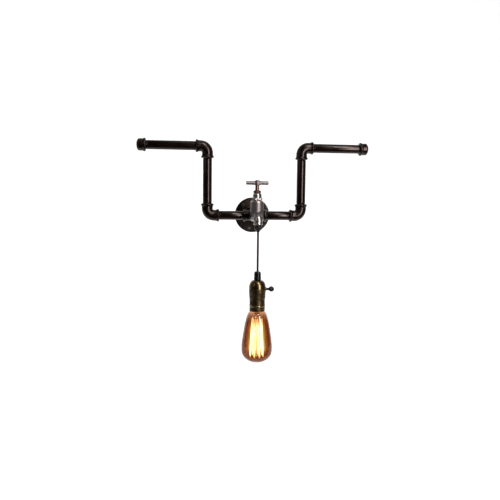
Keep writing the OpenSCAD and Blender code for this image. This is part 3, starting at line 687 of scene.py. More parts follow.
class Finish:
    """A finish under construction: its material, node tree and main shader."""

    groups = {}
    made = {}

    def __init__(self, name, colour, roughness, **sockets):
        self.material = bpy.data.materials.new(name)
        Finish.made[name] = self.material
        self.material.use_nodes = True
        self.tree = self.material.node_tree
        self.shader = self.tree.nodes["Principled BSDF"]
        self.colour = tuple(colour)
        self.set("Base Color", self.colour)
        self.roughness = roughness
        self.set("Roughness", roughness)
        for key, value in sockets.items():
            self.set(key.replace("_", " "), value)

    def set(self, label, source):
        """Links an input of the shader to a source, or sets its value."""
        feed(self.tree, self.shader.inputs[label], source)

    def effect(self, maker, **values):
        """A node that uses a shared effect group, which is built once."""
        if maker not in Finish.groups:
            Finish.groups[maker] = maker()
        node = self.tree.nodes.new("ShaderNodeGroup")
        node.node_tree = Finish.groups[maker]
        for key, value in values.items():
            node.inputs[key.replace("_", " ")].default_value = value
        return node

    def stain(self, mask, colour):
        """Turns the colour so far into another one where the mask is."""
        self.colour = mixed(self.tree, mask, self.colour, colour)
        self.set("Base Color", self.colour)
        return self

    def gloss(self, mask, roughness):
        """Turns the roughness so far into another one where the mask is."""
        node = add(self.tree, "ShaderNodeMix", {
            "Factor": mask, "A": self.roughness, "B": roughness}, data_type="FLOAT")
        self.roughness = node.outputs["Result"]
        self.set("Roughness", self.roughness)
        return self

    def relief(self, height, depth):
        """Bumps the surface by a height map of the given depth in metres."""
        bump = add(self.tree, "ShaderNodeBump", {
            "Height": height, "Distance": depth, "Strength": 1.0})
        below = self.shader.inputs["Normal"].links
        if below:
            feed(self.tree, bump.inputs["Normal"], below[0].from_socket)
        self.set("Normal", bump.outputs["Normal"])
        return self


def grained(finish, blotch_colour, blotch_roughness, depth, **scales):
    """Grain, blotches and their gloss."""
    grain = finish.effect(grain_group, **scales)
    finish.stain(grain.outputs["Blotch"], blotch_colour)
    finish.gloss(grain.outputs["Blotch"], blotch_roughness)
    return finish.relief(grain.outputs["Height"], depth)


def worn(finish, colour, roughness, **limits):
    """Bare metal on rubbed edges."""
    wear = finish.effect(wear_group, **limits)
    finish.stain(wear.outputs["Mask"], colour)
    return finish.gloss(wear.outputs["Mask"], roughness)


def dusty(finish, amount):
    """A little dust on what faces up."""
    dust = finish.effect(dust_group, Amount=amount)
    finish.stain(dust.outputs["Mask"], rgb(60, 58, 54))
    return finish.gloss(dust.outputs["Mask"], 0.8)


def lined(finish, depth, along=(1.0, 1.0, 60.0), colour=None):
    """Turning lines round the upright axis, or along another one."""
    lines = finish.effect(turning_group, Along=along)
    if colour:
        finish.stain(lines.outputs["Mask"], colour)
    return finish.relief(lines.outputs["Height"], depth)


# Finishes


def enamel(name, colour, casting):
    """Black-brown enamel on iron, smoother on pipe than on a casting."""
    gloss = 0.22 if casting else 0.19
    finish = Finish(name, colour, gloss, Specular_IOR_Level=0.32,
                    Specular_Tint=rgb(100, 91, 86))
    depth = (7 if casting else 1.5) * MICRON
    grained(finish, rgb(5.2, 2.6, 1.9), gloss + 0.05, depth,
            Fine_scale=900.0, Broad_scale=110.0 if casting else 60.0, Broad_share=0.7)
    worn(finish, rgb(16, 11, 9), 0.3, Start=0.58, Full=0.72)
    return dusty(finish, 0.015).material


def nickel(colour):
    """Worn nickel plate, dull on the barrel and the handle and brighter on the rest."""
    finish = Finish("nickel", colour, 0.26, Metallic=1.0)
    grained(finish, rgb(60, 57, 56), 0.32, 6 * MICRON,
            Fine_scale=1500.0, Broad_scale=90.0, Broad_share=0.5)
    level = level_of(finish.tree)
    fade = 6 * MM
    barrel_foot = -2 * MM
    barrel_top = float(corners("tap_body")[1][2])
    barrel = band(finish.tree, level, barrel_foot, barrel_top, fade, fade)
    handle_foot = float(corners("tap_handle")[0][2])
    handle = mapped(finish.tree, level, handle_foot - fade, handle_foot - MM)
    dull = combined(finish.tree, barrel, handle, "MAXIMUM")
    finish.stain(dull, rgb(47, 44, 44))
    finish.gloss(dull, 0.46)
    worn(finish, rgb(82, 80, 78), 0.22, Start=0.56, Full=0.68)
    return dusty(finish, 0.03).material


def copper(colour):
    """Turned copper-brown spindle."""
    finish = Finish("spindle_copper", colour, 0.30, Metallic=1.0)
    lined(finish, 20 * MICRON, colour=rgb(40, 28, 24))
    grained(finish, rgb(36, 25, 21), 0.4, 10 * MICRON, Broad_scale=220.0)
    return finish.material


def blackened():
    """Blackened brass of the gland nut, rubbed on its corners."""
    finish = Finish("gland_metal", rgb(13, 11, 10), 0.36, Metallic=0.6)
    grained(finish, rgb(20, 15, 12), 0.46, 40 * MICRON)
    return worn(finish, rgb(48, 38, 28), 0.3).material


def brass(name, colour, shade):
    """Bare brass with turning lines and darker blotches."""
    finish = Finish(name, colour, 0.3, Metallic=1.0)
    lined(finish, 30 * MICRON)
    grained(finish, shade, 0.42, 20 * MICRON, Broad_scale=200.0)
    return worn(finish, rgb(88, 78, 54), 0.22).material


def bronze(colour):
    """Antique bronze finish of the lampholder: olive brown, rubbed to brass on its ridges."""
    finish = Finish("antique_brass", colour, 0.40, Metallic=1.0)
    lined(finish, 6 * MICRON, along=(1.0, 1.0, 40.0), colour=rgb(27, 22, 15))
    grained(finish, rgb(22, 17, 12), 0.46, 6 * MICRON, Broad_scale=130.0, Broad_share=0.5)
    level = level_of(finish.tree)
    fade = 0.8 * MM
    bead_half = 1.8 * MM
    lap = 1.6 * MM
    seam = float(corners("holder_cap")[0][2])
    dome = mapped(finish.tree, level, seam - lap - fade, seam - lap)
    foot = float(corners("holder_shell")[0][2])
    bead = foot + (seam - foot) * BEAD_SHARE
    ridge = band(finish.tree, level, bead - bead_half, bead + bead_half, fade, fade)
    polished = combined(finish.tree, dome, ridge, "MAXIMUM")
    finish.stain(polished, rgb(38, 32, 22))
    finish.gloss(polished, 0.24)
    finish.stain(ridge, rgb(54, 48, 37))
    worn(finish, rgb(66, 58, 42), 0.2, Start=0.52, Full=0.6)
    return dusty(finish, 0.02).material


def scaled(colour, share):
    """A colour made lighter or darker by a share."""
    red, green, blue, _ = colour
    return (red * share, green * share, blue * share, 1.0)


def moulded(name, colour, roughness):
    """Moulded black plastic or rubber."""
    finish = Finish(name, colour, roughness, Specular_IOR_Level=0.2)
    grained(finish, scaled(colour, 1.6), roughness + 0.12, 30 * MICRON,
            Fine_scale=1800.0, Broad_scale=180.0)
    return dusty(finish, 0.03).material


def mineral(name, colour, shade, roughness, depth):
    """Fibre or glazed porcelain."""
    finish = Finish(name, colour, roughness)
    return grained(finish, shade, roughness + 0.1, depth, Broad_scale=240.0).material


def wire_metal(name, colour, roughness):
    """Drawn wire."""
    finish = Finish(name, colour, roughness, Metallic=1.0)
    shade = scaled(colour, 0.7)
    return lined(finish, 10 * MICRON, along=(40.0, 40.0, 1.0), colour=shade).material


def glowing(name, colour, strength):
    """A glowing filament, with slightly cooler and hotter stretches."""
    finish = Finish(name, rgb(90, 60, 30), 0.5)
    grain = finish.effect(grain_group, Broad_scale=60.0)
    shade = mixed(finish.tree, grain.outputs["Blotch"], tuple(colour), rgb(100, 90, 70))
    finish.set("Emission Color", shade)
    rays = add(finish.tree, "ShaderNodeLightPath").outputs
    bounces = combined(finish.tree, rays["Glossy Depth"], rays["Diffuse Depth"], "MAXIMUM")
    bounced = strength * 0.06
    finish.set("Emission Strength", mapped(finish.tree, bounces, 0.0, 1.0, strength, bounced))
    return finish.material


def clear_glass(name, colour, roughness):
    """Glass of the stem."""
    finish = Finish(name, colour, roughness, Transmission_Weight=1.0, IOR=1.47)
    grain = finish.effect(grain_group, Fine_scale=500.0)
    return finish.relief(grain.outputs["Height"], 20 * MICRON).material


def amber_glass(name, colour, glow):
    """Amber glass of the lamp, paler at its neck, with a painted glow: in front of the filament
    the glass is made lighter and emits light.
    """
    finish = Finish(name, colour, 0.02, Transmission_Weight=1.0, IOR=1.35)
    grain = finish.effect(grain_group, Fine_scale=60.0, Broad_scale=30.0)
    level = level_of(finish.tree)
    neck = float(corners("lamp_glass")[1][2])
    pale_from = neck - 35 * MM
    pale_to = neck - 4 * MM
    top = mapped(finish.tree, level, pale_from, pale_to)
    finish.stain(top, rgb(91, 80, 71))
    facing = add(finish.tree, "ShaderNodeLayerWeight", {"Blend": 0.5}).outputs["Facing"]
    rim_from = 0.6
    rim_to = 0.9
    finish.stain(mapped(finish.tree, facing, rim_from, rim_to), rgb(40, 28, 24))
    finish.relief(grain.outputs["Height"], 10 * MICRON)
    past = 4 * MM
    rise = 16 * MM
    fall = 24 * MM
    cage_low, cage_high = (float(corner[2]) for corner in corners("filament"))
    # Painted light: the band of glass at the filament's height, where the glow is painted
    lit = band(finish.tree, level, cage_low - past, cage_high + past, rise, fall)
    front_to = 0.07
    edge_from = 0.22
    front = mapped(finish.tree, facing, front_to, edge_from, 1.0, 0.0)
    # Painted glow: where this band faces the view, the glass is made lighter and emits light,
    # standing in for the filament's light shining through it
    near = combined(finish.tree, front, lit)
    finish.stain(near, rgb(98, 92, 75))
    finish.set("Emission Color", mixed(finish.tree, near, rgb(66, 34, 12), rgb(100, 86, 54)))
    # Painted glow: the rest of the glass emits a faint light of its own
    faint_painted_glow = 0.02
    finish.set("Emission Strength", mapped(finish.tree, near, 0.0, 1.0, faint_painted_glow, glow))
    return finish.material


# Threads and flutes


def thread_wave(angles, station, pitch):
    """How deep a round thread lies at a station, from 0 on its crest to -1 in its root."""
    return (np.cos(2 * math.pi * station / pitch - angles) - 1) / 2


def thread_swell(pitch, depth, first, last):
    """Extra radius of a rolled round thread between two stations."""
    def swell(angles, station):
        fade = min(1.0, max(0.0, (station - first) / pitch), max(0.0, (last - station) / pitch))
        return depth * fade * thread_wave(angles, station, pitch)
    return swell


def flute_swell(count, depth, first, last):
    """Extra radius of rounded flutes between two stations."""
    def swell(angles, station):
        if not first <= station <= last:
            return np.zeros(len(angles))
        return depth * (np.abs(np.cos(count * angles / 2)) ** 0.5 - 1)
    return swell


# Pipework


def pipe_ends(node):
    """Start, direction and length of a straight pipe, and its radius."""
    low, high = corners(node)
    size = high - low
    axis = int(np.argmax(size))
    direction = np.eye(3)[axis]
    start = (low + high) / 2
    start[axis] = low[axis]
    return start, direction, size[axis], np.sort(size)[0] / 2


def pipe(node, material, settings):
    """A pipe with its bore, chamfered ends and the thread that shows beside each fitting."""
    start, direction, length, radius = pipe_ends(node)
    bore = radius * 0.74
    chamfer = 0.0012
    inner_chamfer = 0.0006
    threaded = settings.socket + settings.thread_show
    mouth = [np.array(p) for p in (
        (inner_chamfer, bore), (0, bore + inner_chamfer), (0, radius - chamfer),
        (chamfer, radius))]
    first = divided(mouth, settings.thread_pitch / 4)
    run = [np.array((s, radius)) for s in np.arange(
        chamfer, threaded, settings.thread_pitch / 8)]
    back = [np.array((length - p[0], p[1])) for p in reversed(first + run[1:])]
    line = first + run[1:] + back + [mouth[0]]

    def swell(angles, station):
        near = min(station, length - station)
        if near <= chamfer or near >= threaded:
            return np.zeros(len(angles))
        pitch = settings.thread_pitch
        fade = min(1.0, (threaded - near) / pitch)
        return settings.thread_depth * fade * thread_wave(angles, station, pitch)

    way = straight_way(start, direction)
    skin = turned(node + "_skin", line, way, material, segments=64, swell=swell)
    return dress(skin, "fixture", node)


def mouth_outline(tube_r, bead_r, bead_w, bore, depth, edge):
    """Outline of a fitting's mouth, from inside its socket out over the bead to its body."""
    lift = bead_r - tube_r
    return rounded([
        (depth, bore), (0.0, bore), (0.0, tube_r + 0.1 * lift), (bead_w * 0.35, bead_r),
        (bead_w * 0.6, bead_r), (bead_w * 1.3, tube_r + 0.1 * lift), (bead_w * 2.3, tube_r)],
        edge * 1.5)


def elbow(node, material, settings):
    """A malleable iron elbow: a bent body with a rounded bead at each mouth."""
    low, high = corners(node)
    size = high - low
    bead_r = size[1] / 2
    reach = size[0] - bead_r
    tube_r = bead_r * 0.885
    fat_r = bead_r * 1.045
    left = middle(node)[0] < 0
    lower = node.startswith("lower")
    first = Z_AXIS if lower else -Z_AXIS
    second = X_AXIS if left == lower else -X_AXIS
    corner = np.array([
        (low[0] + bead_r) if second[0] > 0 else (high[0] - bead_r), middle(node)[1],
        (low[2] + bead_r) if lower else (high[2] - bead_r)])
    bend = reach * 0.56
    mouth = mouth_outline(tube_r, fat_r, reach * 0.2, bead_r * FITTING_BORE_SHARE,
                          reach * 0.3, settings.edge_round)
    way = elbow_way(corner, first, second, reach, bend)
    total = 2 * (reach - bend) + bend * math.pi / 2
    middle_run = [np.array((s, tube_r)) for s in np.linspace(
        mouth[-1][0], total - mouth[-1][0], 28)][1:-1]
    far_mouth = [np.array((total - p[0], p[1])) for p in reversed(mouth)]
    line = mouth + middle_run + far_mouth
    return dress(turned(node + "_skin", line, way, material, segments=64), "fixture", node)


def end_cap(node, material, settings):
    """A round malleable cap: a bead at its mouth and a rounded end."""
    low, high = corners(node)
    size = high - low
    side = 1 if middle(node)[0] > 0 else -1
    start = middle(node)
    start[0] = low[0] if side > 0 else high[0]
    bead_r = size[1] / 2
    fat_r = bead_r * 1.05
    body_r = bead_r * 0.93
    length = size[0]
    bead_w = length * 0.28
    bore = bead_r * 0.71
    outline = rounded([
        (length * 0.6, bore), (0, bore), (0, bead_r * 0.88),
        (bead_w * 0.3, fat_r), (bead_w * 0.7, fat_r), (bead_w * 1.2, body_r),
        (length * 0.8, body_r * 1.01), (length * 0.97, body_r * 0.68),
        (length, body_r * 0.5), (length, 0.0)],
        settings.edge_round * 2.5)
    way = straight_way(start, side * X_AXIS)
    return dress(turned(node + "_skin", outline, way, material, segments=64), "fixture", node)


def flange_back():
    """Centre of the flange's back face, its radius and its whole depth."""
    centre = middle("wall_flange")
    centre[1] = corners("wall_flange")[1][1]
    width, depth, _ = extent("wall_flange")
    return centre, width / 2, depth


def screw_places():
    """Centres of the three screw holes on the flange's back face."""
    centre, radius, _ = flange_back()
    screws = 3
    first_turn = 15
    from_edge = 8 * MM
    angles = [math.radians(first_turn + 360 / screws * i) for i in range(screws)]
    return [centre + (radius - from_edge) * (math.cos(a) * X_AXIS + math.sin(a) * Z_AXIS)
            for a in angles]


def flange_field(p, settings):
    """The wall flange: a plate with a threaded hub, three screw holes and the bore."""
    centre, radius, depth = flange_back()
    hole_r = 2.75 * MM
    plate = rod(p, centre, -Y_AXIS, radius, depth * PLATE_SHARE, settings.edge_round * 1.6)
    hub = rod(p, centre, -Y_AXIS, radius * 0.368, depth, settings.edge_round * 1.2)
    shape = weld(plate, hub, settings.weld)
    for place, reach in [(centre, radius * 0.2526)] + [(s, hole_r) for s in screw_places()]:
        hole = rod(p, place + Y_AXIS * depth, -Y_AXIS, reach, depth * 3, 0.0)
        shape = cut(shape, hole, settings.edge_round * 0.5)
    return np.maximum(shape, p[..., 1] - centre[1])


def cross_field(p, settings):
    """The cross: a round body with four beaded arms, bored through."""
    centre = middle("cross_fitting")
    reach, _, bead_r = extent("cross_fitting") / 2
    tube_r = bead_r * 0.865
    bead_w = reach * 0.19
    sunk = 0.001
    ways = (X_AXIS, -X_AXIS, Y_AXIS, -Y_AXIS)
    shape = np.linalg.norm(p - centre, axis=-1) - tube_r * 1.02
    for axis in ways:
        arm = rod(p, centre, axis, tube_r, reach - sunk, settings.edge_round)
        shape = weld(shape, arm, settings.weld)
    for axis in ways:
        bead = rod(p, centre + axis * (reach - bead_w), axis, bead_r, bead_w,
                   settings.edge_round * 1.4)
        shape = weld(shape, bead, settings.edge_round * 1.5)
    for axis in (X_AXIS, Y_AXIS):
        bore = rod(p, centre - axis * reach * 1.5, axis, bead_r * FITTING_BORE_SHARE,
                   reach * 3, 0.0)
        shape = cut(shape, bore, settings.edge_round * 0.4)
    return shape


def screw_head(name, place, axis, radius, height, slot_turn, material):
    """A pan head with a slot cut across it."""
    turn = math.radians(slot_turn)
    side = np.array(Vector(axis).orthogonal().normalized())
    across = side * math.cos(turn) + np.cross(axis, side) * math.sin(turn)
    slot_half = radius * 0.14
    slot_floor = height * 0.45
    reach = radius * 1.1
    step = radius / 11

    def field(p):
        q = p - place
        head = rod(p, place - axis * height, axis, radius, height * 2, height * 0.8)
        base = -(q @ axis)
        slot = np.maximum(np.abs(q @ across) - slot_half, slot_floor - q @ axis)
        return np.maximum(np.maximum(head, base), -slot)

    return cast(name, field, place - reach, place + reach, step, material)


# Tap


def tap_field(p, settings):
    """The tap's body: barrel, inlet neck and bent spout in one casting, bored out."""
    low, high = corners("tap_body")
    axis_y = middle("tap_bonnet")[1]
    barrel_r = (high[0] - low[0]) / 2
    barrel_foot = -10 * MM
    neck_r = 9.5 * MM
    spout_r = 9 * MM
    bend = 10 * MM
    lip_out = 0.7 * MM
    lip_w = 2.6 * MM
    bore_r = 5.7 * MM
    mouth_depth = 6 * MM
    chamber_r = 8.58 * MM
    barrel = rod(p, np.array([0, axis_y, barrel_foot]), Z_AXIS, barrel_r,
                 high[2] - barrel_foot, barrel_r * 0.27)
    neck_start = np.array([0, high[1], 0])
    neck = rod(p, neck_start, -Y_AXIS, neck_r, high[1] - axis_y, settings.edge_round)
    run = rod(p, np.array([0, axis_y, 0]), -Y_AXIS, spout_r, axis_y - CORD_Y - bend, 0.0)
    turn_centre = np.array([0, CORD_Y + bend, -bend])
    turn = bend_rod(p, turn_centre, X_AXIS, bend, spout_r)
    turn = np.maximum(turn, np.maximum(p[..., 1] - turn_centre[1], turn_centre[2] - p[..., 2]))
    mouth_centre = np.array([0, CORD_Y, low[2]])
    drop = rod(p, mouth_centre, Z_AXIS, spout_r, -bend - low[2], settings.edge_round)
    lip = rod(p, mouth_centre, Z_AXIS, spout_r + lip_out, lip_w, settings.edge_round)
    spout = np.minimum(np.minimum(run, turn), drop)
    shape = weld(barrel, spout, settings.weld)
    shape = weld(shape, neck, settings.weld * 0.6)
    shape = weld(shape, lip, settings.edge_round * 1.5)
    mouth = rod(p, mouth_centre - Z_AXIS * OVERRUN, Z_AXIS, bore_r, mouth_depth + OVERRUN, 0.0)
    inlet = rod(p, neck_start + Y_AXIS * OVERRUN, -Y_AXIS, bore_r, 2 * OVERRUN, 0.0)
    chamber = rod(p, np.array([0, axis_y, 0]), Z_AXIS, chamber_r, high[2] + OVERRUN, 0.0)
    for hollow in (mouth, inlet, chamber):
        shape = cut(shape, hollow, settings.edge_round * 0.4)
    return shape


def bonnet_field(p, settings):
    """The tap's bonnet: a hexagon with a domed neck and a spigot below."""
    low, high = corners("tap_bonnet")
    foot = middle("tap_bonnet")
    foot[2] = low[2]
    hex_foot = corners("bonnet_washer")[1][2]
    hex_h = 5 * MM
    neck_r = 9.2 * MM
    neck_dome = 4.2 * MM
    sunk = 2 * MM
    spigot_r = 8.48 * MM
    hole_r = 4.3 * MM
    up = Z_AXIS * (hex_foot - low[2])
    shape = hexagon(p, foot + up, high[0] - low[0], hex_h, settings.edge_round)
    neck_foot = foot + up + Z_AXIS * (hex_h - sunk)
    neck = rod(p, neck_foot, Z_AXIS, neck_r, high[2] - neck_foot[2], neck_dome)
    shape = weld(shape, neck, settings.edge_round * 2)
    spigot = rod(p, foot, Z_AXIS, spigot_r, up[2] + sunk / 2, 0.0)
    hole = rod(p, foot - Z_AXIS * OVERRUN, Z_AXIS, hole_r, high[2] - low[2] + 2 * OVERRUN, 0.0)
    return np.maximum(np.minimum(shape, spigot), -hole)


def gland_field(p, settings):
    """The gland nut: a hexagon with a low round crown."""
    low, high = corners("gland_nut")
    foot = middle("gland_nut")
    foot[2] = corners("tap_bonnet")[1][2]
    width = high[0] - low[0]
    hex_h = 4.4 * MM
    hole_r = 4.26 * MM
    shape = hexagon(p, foot, width, hex_h, settings.edge_round)
    crown = rod(p, foot, Z_AXIS, width * 0.4, high[2] - foot[2], settings.edge_round)
    shape = weld(shape, crown, settings.edge_round)
    hole = rod(p, foot - Z_AXIS * OVERRUN, Z_AXIS, hole_r, 3 * OVERRUN, 0.0)
    return cut(shape, hole, settings.edge_round * 0.4)


def handle_field(p, settings):
    """The T handle: a round bar pressed into a hub, with a fillet between them."""
    centre = middle("tap_handle")
    width, hub_w, hub_h = extent("tap_handle")
    bar_r = 3.8 * MM
    edge = settings.edge_round * 1.6
    hub = rod(p, centre - Z_AXIS * hub_h / 2, Z_AXIS, hub_w / 2, hub_h, edge)
    bar = rod(p, centre - X_AXIS * width / 2, X_AXIS, bar_r, width, edge)
    return weld(hub, bar, settings.edge_round * 3)


# Stage


def stage_light(name, place, target, width, height, power, colour):
    """A softbox that faces a point."""
    data = bpy.data.lights.new(name, "AREA")
    data.shape = "RECTANGLE"
    data.size = width
    data.size_y = height
    data.energy = power
    data.color = colour
    light = bpy.data.objects.new(name, data)
    light.location = place
    facing = Vector(target) - Vector(place)
    light.rotation_euler = facing.to_track_quat("-Z", "Y").to_euler()
    bpy.context.scene.collection.objects.link(light)


def seen_share(tree):
    """One for rays that show the background: to the camera, in reflections, through glass."""
    rays = add(tree, "ShaderNodeLightPath")
    share = rays.outputs["Is Camera Ray"]
    for kind in ("Is Glossy Ray", "Is Transmission Ray"):
        share = combined(tree, share, rays.outputs[kind], "MAXIMUM")
    return share


def around(target, azimuth, elevation, distance):
    """A point at a distance from the target, turned from -Y towards -X, and raised."""
    direction = np.array([
        -math.sin(azimuth) * math.cos(elevation), -math.cos(azimuth) * math.cos(elevation),
        math.sin(elevation)])
    return np.array(target) + direction * distance


# Operators


class PIPELIGHT_OT_camera(bpy.types.Operator):
    """Sets up the camera at the photograph's angle."""

    bl_idname = "pipelight.camera"
    bl_label = "Camera"

    def execute(self, context):
        settings = context.scene.pipe_light.stage
        target = np.array([0.0, -0.040, -0.060])
        data = bpy.data.cameras.new("camera")
        data.sensor_width = 36.0
        data.lens = FOCAL_PIXELS / PICTURE_SIZE * data.sensor_width
        data.shift_x = OFFSET_PIXELS[0] / PICTURE_SIZE
        data.shift_y = OFFSET_PIXELS[1] / PICTURE_SIZE
        data.clip_end = 50.0
        camera = bpy.data.objects.new("camera", data)
        place = around(target, settings.azimuth, settings.elevation, settings.distance)
        camera.location = place
        facing = Vector(target - place).to_track_quat("-Z", "Y").to_matrix().to_4x4()
        camera.rotation_euler = (facing @ Matrix.Rotation(settings.roll, 4, "Z")).to_euler()
        context.scene.collection.objects.link(camera)
        context.scene.camera = camera
        return {"FINISHED"}


class PIPELIGHT_OT_flex(bpy.types.Operator):
    """Hangs the free flex between the spout and the lampholder, and jackets its inner runs."""

    bl_idname = "pipelight.flex"
    bl_label = "Flex"

    def execute(self, context):
        jacket = moulded("flex_jacket", context.scene.pipe_light.colours.flex, 0.5)
        exit_point = middle("cord_exit")
        radius = extent("cord_exit")[0] / 2
        exit_point[2] = corners("cord_exit")[1][2] - radius
        path = [tuple(exit_point)] + CORD_ROUTE
        ring_step = 0.0012
        line = divided([np.array(p) for p in path], ring_step)
        flex = tube("flex", line, radius, jacket)
        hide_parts("cord_exit", "cord")
        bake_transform(flex)
        refinish("inner_flex", jacket)
        refinish("holder_leads", jacket)
        return {"FINISHED"}


class PIPELIGHT_OT_pipework(bpy.types.Operator):
    """Dresses the pipes, elbows, caps, the cross and the wall flange with its screws."""

    bl_idname = "pipelight.pipework"
    bl_label = "Pipework"

    def execute(self, context):
        settings = context.scene.pipe_light.casting
        colour = context.scene.pipe_light.colours.enamel
        pipe_enamel = enamel("iron_pipe", colour, casting=False)
        cast_enamel = enamel("iron_casting", colour, casting=True)
        sides = ("left", "right")
        for level, side in itertools.product(("lower", "upright", "arm"), sides):
            pipe(f"{level}_pipe_{side}", pipe_enamel, settings)
        pipe("flange_nipple", pipe_enamel, settings)
        for level, side in itertools.product(("lower", "upper"), sides):
            elbow(f"{level}_elbow_{side}", cast_enamel, settings)
        for side in sides:
            end_cap(f"end_cap_{side}", cast_enamel, settings)
        for name, node, field in (("cross_skin", "cross_fitting", cross_field),
                                  ("flange_skin", "wall_flange", flange_field)):
            cast_node(name, node, "fixture", field, settings, settings.grid, cast_enamel)
        self.wall_screws()
        return {"FINISHED"}

    def wall_screws(self):
        """The heads of the screws that hold the flange to the wall."""
        zinc = wire_metal("screw_zinc", rgb(26, 25, 23), 0.35)
        plate_t = extent("wall_flange")[1] * PLATE_SHARE
        radius = 4.6 * MM
        height = 2.3 * MM
        for i, place in enumerate(screw_places()):
            slot_turn = 25 + 50 * i
            head = screw_head(f"wall_screw_{i + 1}", place - Y_AXIS * plate_t, -Y_AXIS,
                              radius, height, slot_turn, zinc)
            dress(head, "fixture")


class PIPELIGHT_OT_tap(bpy.types.Operator):
    """Dresses the tap and the black grip in its spout."""

    bl_idname = "pipelight.tap"
    bl_label = "Tap"

    def execute(self, context):
        settings = context.scene.pipe_light.tap
        colours = context.scene.pipe_light.colours
        plate = nickel(colours.nickel)
        for node, body, field, material, fineness in (
                ("tap_body", "fixture", tap_field, plate, 1.0),
                ("tap_bonnet", "fixture", bonnet_field, plate, 0.7),
                ("tap_handle", "tap_turn", handle_field, plate, 0.7),
                ("gland_nut", "fixture", gland_field, blackened(), 0.6)):
            cast_node(node + "_skin", node, body, field, settings, settings.grid * fineness,
                      material)
        self.spindle(copper(colours.spindle))
        self.handle_screw(plate)
        fibre = mineral("fibre", rgb(46, 22, 16), rgb(36, 16, 12), 0.6, 60 * MICRON)
        for node in ("bonnet_washer", "gland_packing"):
            refinish(node, fibre)
        refinish("tap_jumper", brass("brass", colours.brass, rgb(58, 46, 26)))
        refinish("jumper_washer", moulded("rubber", rgb(9, 9, 9), 0.6))
        self.grip(moulded("black_plastic", colours.plastic, 0.2))
        return {"FINISHED"}

    def spindle(self, metal):
        """The spindle: its foot, its stem and the taper that carries the handle."""
        low, high = corners("tap_spindle")
        height = high[2] - low[2]
        foot_r = (high[0] - low[0]) / 2
        foot_h = 18 * MM
        stem_r = 4.2 * MM
        taper = corners("tap_handle")[0][2] - low[2]
        outline = rounded([
            (0, 0), (0, foot_r), (foot_h, foot_r), (foot_h, stem_r), (taper, stem_r),
            (taper, stem_r * 0.9), (height, stem_r * 0.62), (height, 0)], 0.3 * MM)
        start = middle("tap_spindle")
        start[2] = low[2]
        way = straight_way(start, Z_AXIS)
        stem = turned("tap_spindle_skin", outline, way, metal, segments=48)
        dress(stem, "tap_turn", "tap_spindle")

    def handle_screw(self, plate):
        """The screw that holds the handle on the spindle."""
        radius = extent("handle_screw")[0] / 2
        seat = middle("handle_screw")
        seat[2] = corners("tap_handle")[1][2]
        height = corners("handle_screw")[1][2] - seat[2]
        slot_turn = 35
        head = screw_head("handle_screw_skin", seat, Z_AXIS, radius, height, slot_turn, plate)
        dress(head, "tap_turn", "handle_screw")

    def grip(self, plastic):
        """The fluted black grip in the spout, with a short nib round the flex's ball."""
        low, high = corners("spout_cord_grip")
        top = corners("tap_body")[0][2]
        radius = (high[0] - low[0]) / 2
        length = top - low[2]
        nib_end = top - corners("cord_exit")[1][2] + 0.8 * MM
        nib_foot = length + (nib_end - length) * 0.2
        nib_hole = 2.2 * MM
        tail = -4 * MM
        tail_r = 5.5 * MM
        tail_hole = 2.5 * MM
        edge = 0.0008
        ring_step = 0.0008
        outline = rounded([
            (tail, tail_hole), (tail, tail_r), (0, tail_r), (0, radius * 0.96),
            (length * 0.18, radius), (length * 0.82, radius * 0.97), (length, radius * 0.72),
            (nib_foot, 3.6 * MM), (nib_end, 2.9 * MM), (nib_end, nib_hole),
            (length, nib_hole)], edge)
        count = 12
        flutes = flute_swell(count, radius * 0.09, length * 0.22, length * 0.85)
        grip = turned("spout_grip_skin", divided(outline, ring_step), flex_line(top, -Z_AXIS),
                      plastic, segments=96, swell=flutes)
        dress(grip, "fixture", "spout_cord_grip")


